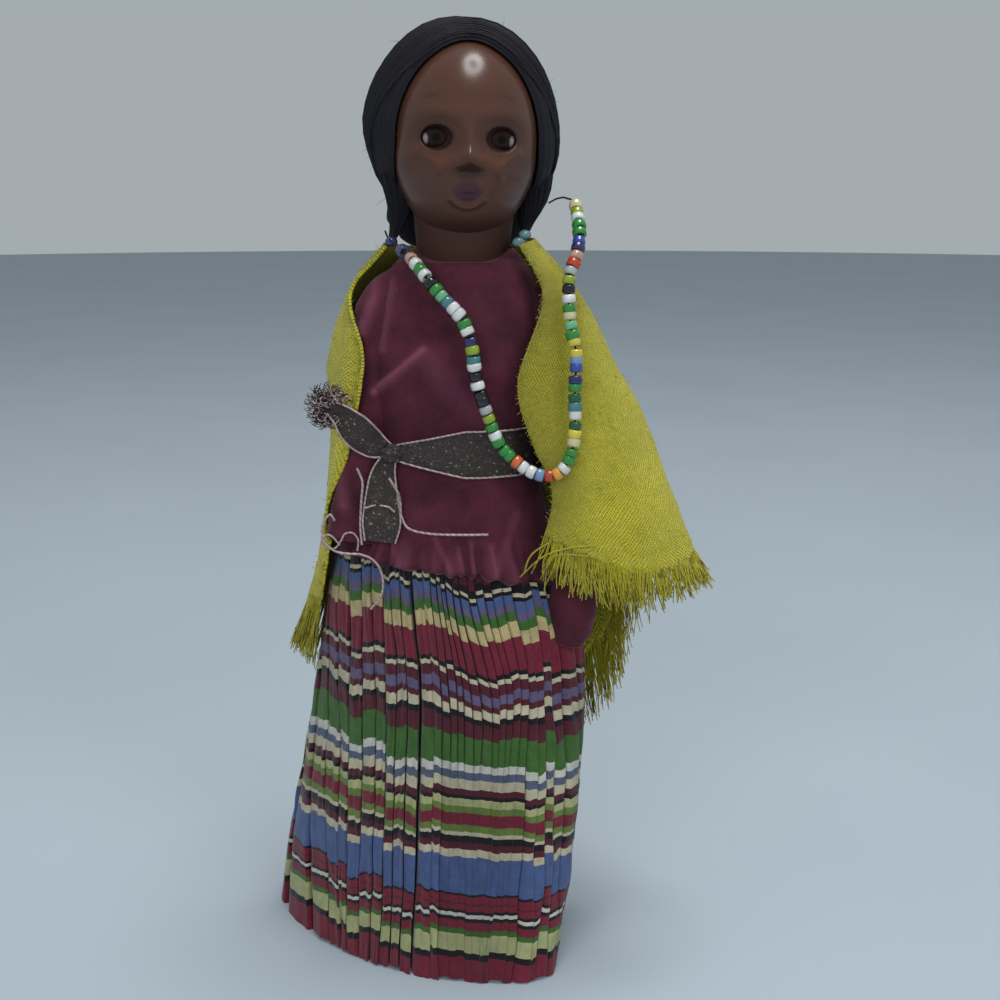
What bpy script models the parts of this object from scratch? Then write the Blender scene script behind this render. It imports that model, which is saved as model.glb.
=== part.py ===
"""Souvenir doll of hard plastic, 190 mm tall, in a pleated striped skirt and a fringed shawl.

Metres, +Z up. The origin is in the middle of the skirt's underside, and -Y is the doll's front.
The doll is a free form, so its pose is given in shares of its height: U is what one millimetre
measures on a doll 190 mm tall. Cloth, thread, beads and clearances have sizes of their own.
"""
import math

import bmesh
import bpy
from mathutils import Matrix, Vector

# Driving dimensions
FIGURE_HEIGHT = 0.190
GAP = 0.0003
SHAWL_THICKNESS = 0.0011
RIBBON_THICKNESS = 0.0007
WIRE_DIAMETER = 0.0005
BEAD_DIAMETER = 0.0027
BEAD_PITCH = 0.00172
EYE_HALF_WIDTH = 0.0026
EYE_HALF_HEIGHT = 0.0020
EYE_HALF_DEPTH = 0.0016
HAIR_THICKNESS = 0.0030
PLEAT_DEPTH = 0.0009
PLEATS = 40
FRINGE_TOOTH = 0.0012

U = FIGURE_HEIGHT / 190.0

# Heights that several pieces share, in U
WAIST = 85.0
WAIST_FALL = 0.12
WAIST_BACK_FALL = 0.12
SEAM_PLACE = (8.0, -12.0)
NECKLINE = 147.0
# What was drawn between these two heights stretches with the neckline
DRAWN_WAIST = 85.0
DRAWN_NECKLINE = 147.0

# Sections from the floor up: height, centre x, centre y, half length, half depth, turn in degrees
SKIRT_ROWS = [
    (0.0, -1.6, 1.6, 35.4, 16.8, -33.5),
    (25.0, 2.4, 1.6, 32.8, 18.0, -27.5),
    (50.0, 6.0, 1.8, 30.2, 17.8, -22.0),
    (68.0, 7.3, 2.0, 27.7, 16.8, -17.0),
    (80.0, 7.4, 2.2, 25.2, 15.8, -12.0),
    (89.0, 7.4, 2.3, 22.6, 14.8, -10.0),
]
SKIRT_POWER = 1.85
TORSO_ROWS = [
    (80.0, 8.3, 2.2, 23.0, 16.6, -10.0),
    (88.0, 8.2, 2.3, 22.0, 16.2, -9.0),
    (94.0, 8.1, 2.5, 20.0, 15.6, -8.0),
    (104.0, 8.1, 2.7, 17.6, 14.2, -6.0),
    (112.0, 8.2, 2.8, 17.2, 14.0, -5.0),
    (125.0, 8.7, 3.1, 17.6, 14.4, -4.0),
    (134.0, 9.1, 3.3, 17.4, 13.4, -3.0),
    (140.0, 9.5, 3.5, 15.6, 12.0, -2.0),
    (144.0, 9.8, 3.6, 13.2, 10.6, -1.0),
    (147.0, 10.0, 3.7, 10.6, 9.6, 0.0),
]
TORSO_POWER = 2.3

# Sleeves from the shoulder down: x, y, z, radius
LEFT_SLEEVE = [
    (0.5, 2.5, 137.0, 5.6), (-4.6, 1.0, 133.5, 6.0), (-6.9, -0.5, 125.0, 5.4),
    (-8.4, -2.6, 112.0, 5.1), (-10.0, -4.4, 101.0, 5.2), (-11.6, -5.4, 90.2, 5.7),
]
RIGHT_SLEEVE = [
    (19.0, 3.0, 136.5, 5.6), (24.6, 2.0, 133.0, 5.8), (29.4, 0.6, 123.0, 5.3),
    (32.8, -1.8, 108.0, 5.0), (34.6, -5.0, 90.0, 5.0), (34.2, -8.0, 76.0, 5.3), (33.8, -9.0, 69.5, 5.8),
]

# Head, in its own axes before it is turned and leaned
HEAD_CENTRE = (10.9, 4.0, NECKLINE + 20.7)
HEAD_HALF = (14.3, 17.0, 19.3)
HEAD_TURN = 6.0
HEAD_LEAN = 2.0
NECK_RADIUS = 9.0
NECK_PLACE = (-0.6, 2.0)
NECK_SUNK = 10.0
EYE_PLACE = (6.1, -13.4, 0.2)
# Forms of the face: x, z, spread in x, spread in z, how far it stands out; x is mirrored if not 0
FACE_FORMS = [
    (0.0, -3.6, 2.1, 2.3, 2.5), (0.0, 0.6, 1.7, 3.2, 0.9), (0.0, -8.7, 2.5, 1.0, 1.1),
    (0.0, -10.7, 2.1, 0.9, 1.1), (0.0, -14.2, 3.6, 2.3, 1.3), (0.0, -6.9, 1.4, 0.8, -0.3),
    (6.3, -5.0, 3.8, 3.6, 1.0), (6.1, 0.2, 3.2, 2.1, -1.2), (5.2, 4.6, 4.6, 1.6, 0.5),
]
# Side locks of the wig in the head's axes: x, y, z, radius
LEFT_LOCK = [
    (-12.6, 4.0, -1.0, 4.6), (-13.0, 3.0, -7.0, 4.3), (-12.8, 2.0, -12.0, 3.4), (-12.6, 1.0, -17.2, 2.4),
]
RIGHT_LOCK = [
    (12.4, 4.0, -1.0, 4.6), (13.8, 3.0, -6.0, 4.2), (13.9, 2.0, -11.0, 3.2), (12.8, 1.0, -15.8, 2.1),
]
# Hair over the nape, in the head's axes: middle, and half sizes
NAPE_PLACE = (-0.5, 15.6, -11.0)
NAPE_HALF = (11.5, 4.6, 8.0)
# Share of the hair's thickness that locks and nape keep off the head
HEAD_ROOM = 0.45
# Beads that tie the locks: x, y, z, from the lock's end down
LEFT_HAIR_BEADS = [(-4.4, 0.6, NECKLINE + 1.6)]
RIGHT_HAIR_BEADS = [(22.6, 0.4, NECKLINE + 2.9), (21.3, -0.8, NECKLINE + 1.5)]
HAIR_BEAD_DIAMETER = 0.0025

# Ribs of the shawl, each from the neck down to the fringe, from the front edge round the back
SHAWL_RIBS = [
    [(22.0, -4.5, 148.0), (26.4, -8.0, 138.5), (22.4, -11.4, 122.0), (22.6, -12.6, 110.0),
     (27.4, -13.4, 100.0), (25.0, -16.0, 88.5)],
    [(23.0, -3.0, 148.4), (30.0, -7.0, 138.0), (31.5, -9.4, 122.0), (33.5, -11.5, 110.0),
     (35.0, -13.4, 98.0), (36.5, -15.6, 83.0)],
    [(24.0, -0.5, 148.6), (33.6, -3.5, 137.0), (38.6, -6.5, 122.0), (42.5, -8.5, 110.0),
     (46.5, -10.0, 95.0), (49.5, -11.0, 77.5)],
    [(24.2, 2.0, 148.2), (33.6, 2.0, 136.0), (41.2, 1.0, 122.5), (48.2, 0.0, 108.5),
     (54.6, -1.5, 93.5), (61.0, -3.0, 80.5)],
    [(23.4, 5.5, 148.6), (32.6, 8.5, 137.0), (38.0, 10.5, 122.0), (42.0, 11.5, 107.0),
     (44.5, 10.5, 90.0), (46.0, 8.0, 71.0)],
    [(20.0, 10.0, 147.2), (24.6, 15.4, 138.5), (27.6, 18.6, 122.0), (30.5, 19.6, 105.0),
     (33.5, 19.6, 80.0), (36.8, 15.0, 55.0)],
    [(10.0, 15.4, 146.4), (10.0, 18.6, 139.0), (9.5, 20.6, 122.0), (9.0, 21.4, 105.0),
     (8.5, 23.0, 80.0), (8.0, 25.0, 52.0)],
    [(0.0, 11.6, 146.8), (-4.6, 15.4, 139.0), (-8.4, 18.2, 122.0), (-10.5, 19.2, 105.0),
     (-13.5, 21.0, 80.0), (-15.5, 23.0, 54.0)],
    [(-4.6, 6.0, 147.6), (-11.0, 9.0, 139.5), (-17.0, 10.4, 125.0), (-17.0, 11.0, 108.0),
     (-20.0, 12.5, 84.0), (-26.5, 14.0, 62.0)],
    [(-5.4, 3.4, 146.6), (-9.6, 7.2, 139.5), (-12.8, 8.4, 127.0), (-13.4, 7.4, 110.0),
     (-17.6, 7.4, 90.0), (-23.4, 8.0, 63.0)],
]

# The necklace from the left of the neck round the front and up to the hair: x, y, z
NECKLACE_ROUTE = [
    (-2.4, -3.4, 147.9), (0.5, -7.7, 146.0), (3.1, -10.7, 143.2), (6.6, -13.2, 139.2), (10.4, -14.4, 135.1),
    (12.3, -14.8, 130.0), (13.2, -14.8, 123.4), (15.2, -14.8, 117.1), (17.4, -14.8, 111.4),
    (20.0, -15.0, 108.4), (23.3, -15.6, 106.0), (26.7, -16.2, 105.1), (29.4, -16.4, 106.1),
    (31.3, -16.2, 109.4), (32.0, -15.6, 114.9), (31.9, -15.0, 120.6), (32.1, -14.0, 128.3),
    (31.1, -12.9, 133.4), (30.7, -12.2, 138.3), (30.9, -11.2, 142.9), (32.3, -9.2, 146.7),
    (32.9, -5.8, 151.0), (32.3, -1.5, 156.0),
]

# Ribbon belt: height, and where its band starts and ends round the waist in degrees from +X
BELT_HEIGHT = 107.6
BELT_START = 220.0
BELT_SWEEP = 300.0
BELT_HALF_KNOT = 1.6
BELT_HALF_WIDE = 4.8
# The knot, tails, tuft and wires give their heights from the middle of the belt
KNOT_PLACE = (-3.4, 0.6)
KNOT_HALF = (2.7, 1.7, 2.4)
KNOT_STANDS_OUT = 0.5
# Ribbon tails by x, height and half width
TAIL_UP = [
    (-3.8, 1.4, 1.9), (-7.6, 4.6, 3.0), (-11.2, 8.6, 3.4), (-14.8, 10.6, 3.2), (-18.8, 10.6, 2.8),
]
TAIL_DOWN = [
    (-3.8, 0.4, 1.5), (-5.2, -3.6, 2.4), (-5.6, -8.2, 2.7), (-6.4, -12.6, 3.1), (-6.8, -16.0, 3.3),
]
TUFT_PLACE = (-18.4, -9.8, 10.4)
TUFT_HALF = (4.6, 2.2, 3.9)
TUFT_RUFFLE = 0.22
# Depth ahead of the left sleeve which the ribbon's tails keep to
SLEEVE_FRONT = -8.6

# Loose gilt wires by x and height, on the front of the blouse
WIRE_FRONT = [
    (-2.4, -2.7), (-1.4, -5.4), (-0.9, -8.4), (-1.4, -11.4), (0.3, -13.7), (4.0, -14.4), (9.9, -14.4),
    (15.4, -14.4),
]
WIRE_LEFT = [(-9.9, -1.8), (-9.6, -4.6), (-10.5, -8.4), (-10.9, -13.2), (-10.5, -16.4)]
WIRE_LOOP = [
    (-14.7, -12.3), (-15.7, -11.1), (-17.1, -13.3), (-17.0, -16.3), (-14.9, -18.4), (-12.4, -19.0),
    (-9.6, -19.2), (-7.0, -20.6), (-5.6, -23.5), (-5.8, -27.4), (-8.0, -30.4),
]
# The front wire steps over the belt: how far below its middle the step starts, and how long it is
WIRE_STEP_BELOW = 8.6
WIRE_STEP_LENGTH = 3.0
WIRE_STEP_X = -6.0


def follow_neckline(height):
    """A drawn height, where the neckline now puts it."""
    if height < DRAWN_WAIST:
        return height
    share = min(1.0, (height - DRAWN_WAIST) / (DRAWN_NECKLINE - DRAWN_WAIST))
    return DRAWN_WAIST + share * (NECKLINE - DRAWN_WAIST) + max(0.0, height - DRAWN_NECKLINE)


TORSO_ROWS = [(follow_neckline(height), *rest) for height, *rest in TORSO_ROWS]
LEFT_SLEEVE, RIGHT_SLEEVE = (
    [(x, y, follow_neckline(z), radius) for x, y, z, radius in rows] for rows in (LEFT_SLEEVE, RIGHT_SLEEVE))
SHAWL_RIBS = [[(x, y, follow_neckline(z)) for x, y, z in rib] for rib in SHAWL_RIBS]
NECKLACE_ROUTE = [(x, y, follow_neckline(z)) for x, y, z in NECKLACE_ROUTE]

# Facets
SKIRT_STEPS = 3
SKIRT_RINGS = 6
TORSO_SIDES = 36
TORSO_RINGS = 11
SLEEVE_POINTS = 9
HEAD_SIDES = 24
HEAD_RINGS = 17
NECK_SIDES = 24
HEAD_ROOM_SIDES = 14
HEAD_ROOM_RINGS = 10
WIG_SIDES = 20
WIG_RINGS = 11
LOCK_POINTS = 6
NAPE_SIDES = 16
NAPE_RINGS = 10
EYE_SIDES = 12
EYE_RINGS = 6
SHAWL_COLUMNS = 28
SHAWL_ROWS = 10
BAND_STEPS = 28
TAIL_STEPS = 8
KNOT_SIDES = 12
KNOT_RINGS = 8
WIRE_POINTS = (14, 8, 18)
BEAD_SIDES = 8
BEAD_RINGS = 5


def clear_scene():
    """Start from an empty scene."""
    for obj in list(bpy.data.objects):
        bpy.data.objects.remove(obj, do_unlink=True)


def new_collection(name):
    """A collection linked to the scene."""
    collection = bpy.data.collections.new(name)
    bpy.context.scene.collection.children.link(collection)
    return collection


def material(name, colour, roughness, metallic=0.0):
    """A plain finish: colour, roughness and metallic value."""
    made = bpy.data.materials.new(name)
    made.use_nodes = True
    shader = made.node_tree.nodes["Principled BSDF"]
    shader.inputs["Base Color"].default_value = (*colour, 1.0)
    shader.inputs["Roughness"].default_value = roughness
    shader.inputs["Metallic"].default_value = metallic
    return made


def add_mesh(name, bm, collection, finish=None):
    """Turn a bmesh into an object of the collection."""
    bm.normal_update()
    bmesh.ops.recalc_face_normals(bm, faces=bm.faces)
    mesh = bpy.data.meshes.new(name)
    bm.to_mesh(mesh)
    bm.free()
    obj = bpy.data.objects.new(name, mesh)
    collection.objects.link(obj)
    if finish:
        mesh.materials.append(finish)
        mesh.shade_smooth()
        mesh.set_sharp_from_angle(angle=math.radians(50))
    return obj


def add_cutter(name, bm):
    """A helper solid that is only drawn as wire and is left out of the model."""
    obj = add_mesh(name, bm, CUTTERS)
    obj.hide_render = True
    obj.display_type = "WIRE"
    return obj


def combine(obj, other, operation):
    """Join another solid to this one, or cut it away, with a Boolean modifier."""
    modifier = obj.modifiers.new(other.name, "BOOLEAN")
    modifier.operation = operation
    modifier.object = other
    modifier.solver = "EXACT"


def blend_rows(rows, at):
    """Values at one height, on a smooth curve through rows that start with their height."""
    at = min(max(at, rows[0][0]), rows[-1][0])
    first = max(k for k in range(len(rows) - 1) if rows[k][0] <= at)
    before, here, there, after = (
        rows[max(0, min(len(rows) - 1, k))] for k in range(first - 1, first + 3))
    span = there[0] - here[0]
    t = (at - here[0]) / span
    values = []
    for k in range(1, len(here)):
        slope_in = (there[k] - before[k]) / (there[0] - before[0]) * span
        slope_out = (after[k] - here[k]) / (after[0] - here[0]) * span
        values.append((2 * t ** 3 - 3 * t * t + 1) * here[k] + (t ** 3 - 2 * t * t + t) * slope_in
                      + (3 * t * t - 2 * t ** 3) * there[k] + (t ** 3 - t * t) * slope_out)
    return values


def along(points, t):
    """Point at share t of a smooth curve through the points."""
    rows = [(k, *point) for k, point in enumerate(points)]
    return blend_rows(rows, t * (len(points) - 1))


def route(points, count):
    """Evenly counted points on the smooth curve through the given ones."""
    return [along(points, k / (count - 1)) for k in range(count)]


def even_route(points, step):
    """Points a fixed step apart on the smooth curve, and as many steps as fit."""
    fine = [Vector(p) for p in route(points, 1200)]
    spaced, travelled = [fine[0]], 0.0
    for a, b in zip(fine, fine[1:]):
        travelled += (b - a).length
        if travelled >= step:
            spaced.append(b)
            travelled -= step
    return spaced


def section_point(rows, angle, height, power=2.0, lift=0.0):
    """Point on the rounded section at a height, at an angle from +X, stood off by lift."""
    cx, cy, long, deep, turn = blend_rows(rows, height)
    turn = math.radians(turn)
    local = angle - turn
    c, s = math.cos(local), math.sin(local)
    reach = (abs(c) / (long + lift)) ** power + (abs(s) / (deep + lift)) ** power
    radius = reach ** (-1.0 / power)
    return Vector((cx + radius * math.cos(angle), cy + radius * math.sin(angle), height))


def waist_height(point):
    """Height of the seam where the blouse meets the skirt; it falls towards +X and to the back."""
    return WAIST - WAIST_FALL * (point.x - SEAM_PLACE[0]) - WAIST_BACK_FALL * (point.y - SEAM_PLACE[1])


def pleat(share, height):
    """How far the cloth stands out at a share of the way round, from -1 to 1."""
    wander = 0.35 * math.sin(5 * math.tau * share) + 0.25 * math.sin(3 * math.tau * share + height / 30)
    phase = (share * PLEATS + wander) % 1.0
    ridge = phase / 0.7 if phase < 0.7 else (1.0 - phase) / 0.3
    return 2 * ridge - 1


def wrapped_column(rings, sides):
    """A capped column of unit height whose corners are moved afterwards."""
    bm = bmesh.new()
    bmesh.ops.create_cone(bm, cap_ends=True, segments=sides, radius1=1, radius2=1, depth=1)
    upright = [e for e in bm.edges if abs(e.verts[0].co.z - e.verts[1].co.z) > 0.5]
    bmesh.ops.subdivide_edges(bm, edges=upright, cuts=rings - 1, use_grid_fill=True)
    return bm


def make_skirt(finish):
    """Gathered skirt, flat below where it stands, closed above at the waist seam."""
    bm = wrapped_column(SKIRT_RINGS, PLEATS * SKIRT_STEPS)
    for vert in bm.verts:
        angle = math.atan2(vert.co.y, vert.co.x)
        share = (angle / math.tau) % 1.0
        up = vert.co.z + 0.5
        edge = section_point(SKIRT_ROWS, angle, up * WAIST, SKIRT_POWER)
        height = up * waist_height(edge)
        fold = PLEAT_DEPTH / U * (0.9 - 0.3 * up) * pleat(share, height)
        vert.co = section_point(SKIRT_ROWS, angle, height, SKIRT_POWER, fold) * U
    skirt = add_mesh("pleated_skirt", bm, PARTS, finish)
    combine(skirt, sleeve_mesh("skirt_sleeve_room", RIGHT_SLEEVE, GAP), "DIFFERENCE")
    return skirt


def tube_mesh(name, points, radii, resolution):
    """A tube through points with its own radius at each, capped and welded to one closed mesh."""
    curve = bpy.data.curves.new(name, "CURVE")
    curve.dimensions = "3D"
    curve.bevel_depth = 1.0
    curve.bevel_resolution = resolution
    curve.use_fill_caps = True
    spline = curve.splines.new("POLY")
    spline.points.add(len(points) - 1)
    for target, point, radius in zip(spline.points, points, radii):
        target.co = (*point, 1.0)
        target.radius = radius
    holder = bpy.data.objects.new(name, curve)
    bpy.context.scene.collection.objects.link(holder)
    depsgraph = bpy.context.evaluated_depsgraph_get()
    mesh = bpy.data.meshes.new_from_object(holder.evaluated_get(depsgraph))
    bm = bmesh.new()
    bm.from_mesh(mesh)
    bpy.data.objects.remove(holder, do_unlink=True)
    bpy.data.meshes.remove(mesh)
    bmesh.ops.remove_doubles(bm, verts=bm.verts, dist=0.00001)
    return bm


def sleeve_mesh(name, rows, extra=0.0):
    """A sleeve as a helper solid, with extra room round it and past its end."""
    points = route(rows, SLEEVE_POINTS)
    radii = [p[3] * U + extra for p in points]
    centres = [Vector(p[:3]) * U for p in points]
    centres[-1] += (centres[-1] - centres[-2]).normalized() * extra
    return add_cutter(name, tube_mesh(name, centres, radii, 3))


def make_blouse(finish):
    """Blouse with both sleeves, from the waist seam up to the round neckline."""
    bm = wrapped_column(TORSO_RINGS, TORSO_SIDES)
    for vert in bm.verts:
        angle = math.atan2(vert.co.y, vert.co.x)
        up = vert.co.z + 0.5
        foot = section_point(TORSO_ROWS, angle, WAIST, TORSO_POWER)
        low = waist_height(foot) + GAP / U
        height = low + up * (NECKLINE - low)
        point = section_point(TORSO_ROWS, angle, height, TORSO_POWER)
        vert.co = point * U
    blouse = add_mesh("blouse", bm, PARTS, finish)
    combine(blouse, sleeve_mesh("left_sleeve_form", LEFT_SLEEVE), "UNION")
    combine(blouse, sleeve_mesh("right_sleeve_form", RIGHT_SLEEVE), "UNION")
    return blouse


def head_matrix():
    """Where the head's own axes lie."""
    return (Matrix.Translation(Vector(HEAD_CENTRE) * U)
            @ Matrix.Rotation(math.radians(HEAD_LEAN), 4, "Y")
            @ Matrix.Rotation(math.radians(HEAD_TURN), 4, "Z"))


def skull_point(direction, lift=0.0):
    """Point of the plain skull in a direction from its middle, stood off by lift."""
    half = [h * U + lift for h in HEAD_HALF]
    reach = math.sqrt(sum((d / h) ** 2 for d, h in zip(direction, half)))
    return Vector(direction) / reach


def facing_sphere(sides, rings):
    """A ball whose pole faces -Y, with its rings drawn together towards that pole."""
    bm = bmesh.new()
    bmesh.ops.create_uvsphere(bm, u_segments=sides, v_segments=rings, radius=1)
    for vert in bm.verts:
        polar = math.acos(max(-1.0, min(1.0, vert.co.z)))
        around = math.atan2(vert.co.y, vert.co.x)
        polar = math.pi * (polar / math.pi) ** 1.4
        vert.co = (math.sin(polar) * math.cos(around), -math.cos(polar), math.sin(polar) * math.sin(around))
    return bm


def face_relief(x, z):
    """How far the face stands out of the plain skull at x, z in the head's axes."""
    relief = 0.0
    for form_x, form_z, wide, tall, out in FACE_FORMS:
        for side in ((1, -1) if form_x else (1,)):
            spread = ((x - side * form_x) / wide) ** 2 + ((z - form_z) / tall) ** 2
            relief += out * math.exp(-spread)
    return relief


def make_head(finish):
    """Head with its face and neck, and a socket for each eye."""
    bm = facing_sphere(HEAD_SIDES, HEAD_RINGS)
    for vert in bm.verts:
        point = skull_point(vert.co)
        if vert.co.y < 0:
            point.y -= face_relief(point.x / U, point.z / U) * U * min(1.0, -vert.co.y * 3)
        vert.co = point
    bm.transform(head_matrix())
    head = add_mesh("doll_head", bm, PARTS, finish)
    neck = bmesh.new()
    neck_top, neck_foot = HEAD_CENTRE[2] - NECK_SUNK, NECKLINE + GAP / U
    bmesh.ops.create_cone(neck, cap_ends=True, segments=NECK_SIDES, radius1=NECK_RADIUS * U,
                          radius2=NECK_RADIUS * U, depth=(neck_top - neck_foot) * U)
    middle = Vector((HEAD_CENTRE[0] + NECK_PLACE[0], HEAD_CENTRE[1] + NECK_PLACE[1],
                     (neck_top + neck_foot) / 2))
    bmesh.ops.translate(neck, verts=neck.verts, vec=middle * U)
    combine(head, add_cutter("neck_form", neck), "UNION")
    for side, name in ((-1, "left"), (1, "right")):
        combine(head, add_cutter(name + "_socket_form", eye_shape(side, GAP)), "DIFFERENCE")
    return head


def eye_shape(side, room=0.0):
    """An eye, or with room the socket that holds it."""
    bm = bmesh.new()
    bmesh.ops.create_uvsphere(bm, u_segments=EYE_SIDES, v_segments=EYE_RINGS, radius=1)
    size = (EYE_HALF_WIDTH + room, EYE_HALF_DEPTH + room, EYE_HALF_HEIGHT + room)
    bmesh.ops.scale(bm, verts=bm.verts, vec=size)
    place = Vector((side * EYE_PLACE[0], EYE_PLACE[1], EYE_PLACE[2])) * U
    bmesh.ops.rotate(bm, verts=bm.verts, matrix=Matrix.Rotation(math.radians(16 * side), 3, "Z"))
    bmesh.ops.translate(bm, verts=bm.verts, vec=place)
    bm.transform(head_matrix())
    return bm


def hairline(up):
    """Polar angle of the wig's front edge; up is 1 over the forehead and -1 under the chin."""
    return math.radians(64.0 + 4.0 * max(up, 0.0) ** 4 + 64.0 * max(-up, 0.0) ** 1.7)


def make_wig(finish):
    """Mohair wig: a cap with a centre parting and a gathered lock at each side of the neck."""
    bm = facing_sphere(WIG_SIDES, WIG_RINGS)
    front = min(bm.verts, key=lambda v: v.co.y)
    bmesh.ops.delete(bm, geom=[front], context="VERTS")
    start = min(math.acos(max(-1.0, min(1.0, -v.co.y))) for v in bm.verts)
    for vert in bm.verts:
        polar = math.acos(max(-1.0, min(1.0, -vert.co.y)))
        around = math.atan2(vert.co.z, vert.co.x)
        edge = hairline(math.sin(around))
        share = (polar - start) / (math.pi - start)
        polar = edge + (math.pi - edge) * share
        vert.co = (math.sin(polar) * math.cos(around), -math.cos(polar), math.sin(polar) * math.sin(around))
    inner = bmesh.ops.duplicate(bm, geom=bm.verts[:] + bm.edges[:] + bm.faces[:])["geom"]
    inner_verts = {g for g in inner if isinstance(g, bmesh.types.BMVert)}
    for vert in bm.verts:
        direction = vert.co.copy()
        lift = GAP * 1.6
        if vert not in inner_verts:
            polar = math.acos(max(-1.0, min(1.0, -direction.y)))
            full = min(1.0, (polar - hairline(direction.z / max(0.01, math.sin(polar)))) / 0.45)
            parting = math.exp(-(direction.x / 0.07) ** 2) if direction.z > 0 else 0.0
            lift += HAIR_THICKNESS * (0.3 + 0.9 * full - 0.25 * parting)
            lift += HAIR_THICKNESS * full * (0.25 * abs(direction.x) - 0.3 * direction.x)
        vert.co = skull_point(direction, lift)
    rims = [e for e in bm.edges if e.is_boundary]
    bmesh.ops.bridge_loops(bm, edges=rims)
    bm.transform(head_matrix())
    wig = add_mesh("wig", bm, PARTS, finish)
    room = facing_sphere(HEAD_ROOM_SIDES, HEAD_ROOM_RINGS)
    for vert in room.verts:
        vert.co = skull_point(vert.co, HAIR_THICKNESS * HEAD_ROOM)
    room.transform(head_matrix())
    head_room = add_cutter("wig_head_room", room)
    for name, lock in (("left", LEFT_LOCK), ("right", RIGHT_LOCK)):
        points = route(lock, LOCK_POINTS)
        tube = tube_mesh(name, [Vector(p[:3]) * U for p in points], [p[3] * U for p in points], 2)
        tube.transform(head_matrix())
        form = add_cutter(name + "_lock_form", tube)
        combine(form, head_room, "DIFFERENCE")
        combine(wig, form, "UNION")
    nape = bmesh.new()
    bmesh.ops.create_uvsphere(nape, u_segments=NAPE_SIDES, v_segments=NAPE_RINGS, radius=1)
    bmesh.ops.scale(nape, verts=nape.verts, vec=[h * U for h in NAPE_HALF])
    bmesh.ops.translate(nape, verts=nape.verts, vec=Vector(NAPE_PLACE) * U)
    nape.transform(head_matrix())
    nape_form = add_cutter("nape_form", nape)
    combine(nape_form, head_room, "DIFFERENCE")
    combine(wig, nape_form, "UNION")
    return wig


def make_hair_beads(name, places, finish):
    """The bead or beads that tie one lock, fused where they touch."""
    bm = bmesh.new()
    bmesh.ops.create_uvsphere(bm, u_segments=BEAD_SIDES, v_segments=BEAD_RINGS, radius=HAIR_BEAD_DIAMETER / 2)
    bmesh.ops.translate(bm, verts=bm.verts, vec=Vector(places[0]) * U)
    beads = add_mesh(name, bm, PARTS, finish)
    for place in places[1:]:
        more = bmesh.new()
        bmesh.ops.create_uvsphere(more, u_segments=BEAD_SIDES, v_segments=BEAD_RINGS,
                                  radius=HAIR_BEAD_DIAMETER / 2)
        bmesh.ops.translate(more, verts=more.verts, vec=Vector(place) * U)
        combine(beads, add_cutter(name + "_form", more), "UNION")


def shawl_point(across, down):
    """Point of the shawl's inner face; across runs from the front edge round the back."""
    ribs = [along(rib, down) for rib in SHAWL_RIBS]
    return Vector(along(ribs, across))


def make_shawl(finish):
    """Open-weave shawl over both shoulders, with a toothed edge where it is fringed."""
    bm = bmesh.new()
    bmesh.ops.create_grid(bm, x_segments=SHAWL_COLUMNS, y_segments=SHAWL_ROWS, size=0.5)
    for vert in bm.verts:
        across, down = vert.co.x + 0.5, 0.5 - vert.co.y
        point = shawl_point(across, down) * U
        if down > 0.999 and round(across * SHAWL_COLUMNS) % 2:
            point.z -= FRINGE_TOOTH
        vert.co = point
    shawl = add_mesh("shawl", bm, PARTS, finish)
    solid = shawl.modifiers.new("thickness", "SOLIDIFY")
    solid.thickness = SHAWL_THICKNESS
    solid.offset = 1.0
    return shawl


def make_necklace(finish):
    """One strand of seed beads: round beads threaded edge to edge."""
    beads = even_route([[c * U for c in p] for p in NECKLACE_ROUTE], BEAD_PITCH / 2)
    radii = [BEAD_DIAMETER / 2 * (1.0 if k % 2 else 0.55) for k in range(len(beads))]
    return add_mesh("bead_necklace", tube_mesh("strand", beads, radii, 1), PARTS, finish)


def front_y(x, z):
    """The foremost y of the blouse at x, z, in U."""
    left, right = math.pi, math.tau
    for _ in range(24):
        middle = (left + right) / 2
        if section_point(TORSO_ROWS, middle, z, TORSO_POWER).x < x:
            left = middle
        else:
            right = middle
    foremost = section_point(TORSO_ROWS, left, z, TORSO_POWER).y
    for sx, sy, sz, radius in route(LEFT_SLEEVE, 40):
        if abs(sz - z) < 1.5 and abs(x - sx) < radius:
            foremost = min(foremost, sy - math.sqrt(radius ** 2 - (x - sx) ** 2))
    return foremost


def strip_mesh(name, rows, lift, ahead_of=0.0):
    """A flat ribbon on the blouse, from rows of x, z and half width, always ahead of one depth."""
    bm = bmesh.new()
    bmesh.ops.create_grid(bm, x_segments=TAIL_STEPS, y_segments=1, size=0.5)
    for vert in bm.verts:
        share = vert.co.x + 0.5
        x, z, half = along(rows, share)
        ahead = along(rows, min(1.0, share + 0.02))
        behind = along(rows, max(0.0, share - 0.02))
        tangent = Vector((ahead[0] - behind[0], ahead[1] - behind[1])).normalized()
        side = 2 * half * vert.co.y
        lie = min(*(front_y(x + dx, z) for dx in (-half, 0.0, half)), ahead_of)
        vert.co = Vector((x - tangent.y * side, lie - lift / U, z + tangent.x * side)) * U
    bm.normal_update()
    bmesh.ops.solidify(bm, geom=bm.faces[:], thickness=RIBBON_THICKNESS)
    return add_cutter(name, bm)


def from_floor(rows):
    """Rows of x and height from the belt's middle, with the height from the floor instead."""
    return [(x, BELT_HEIGHT + height, *rest) for x, height, *rest in rows]


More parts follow.
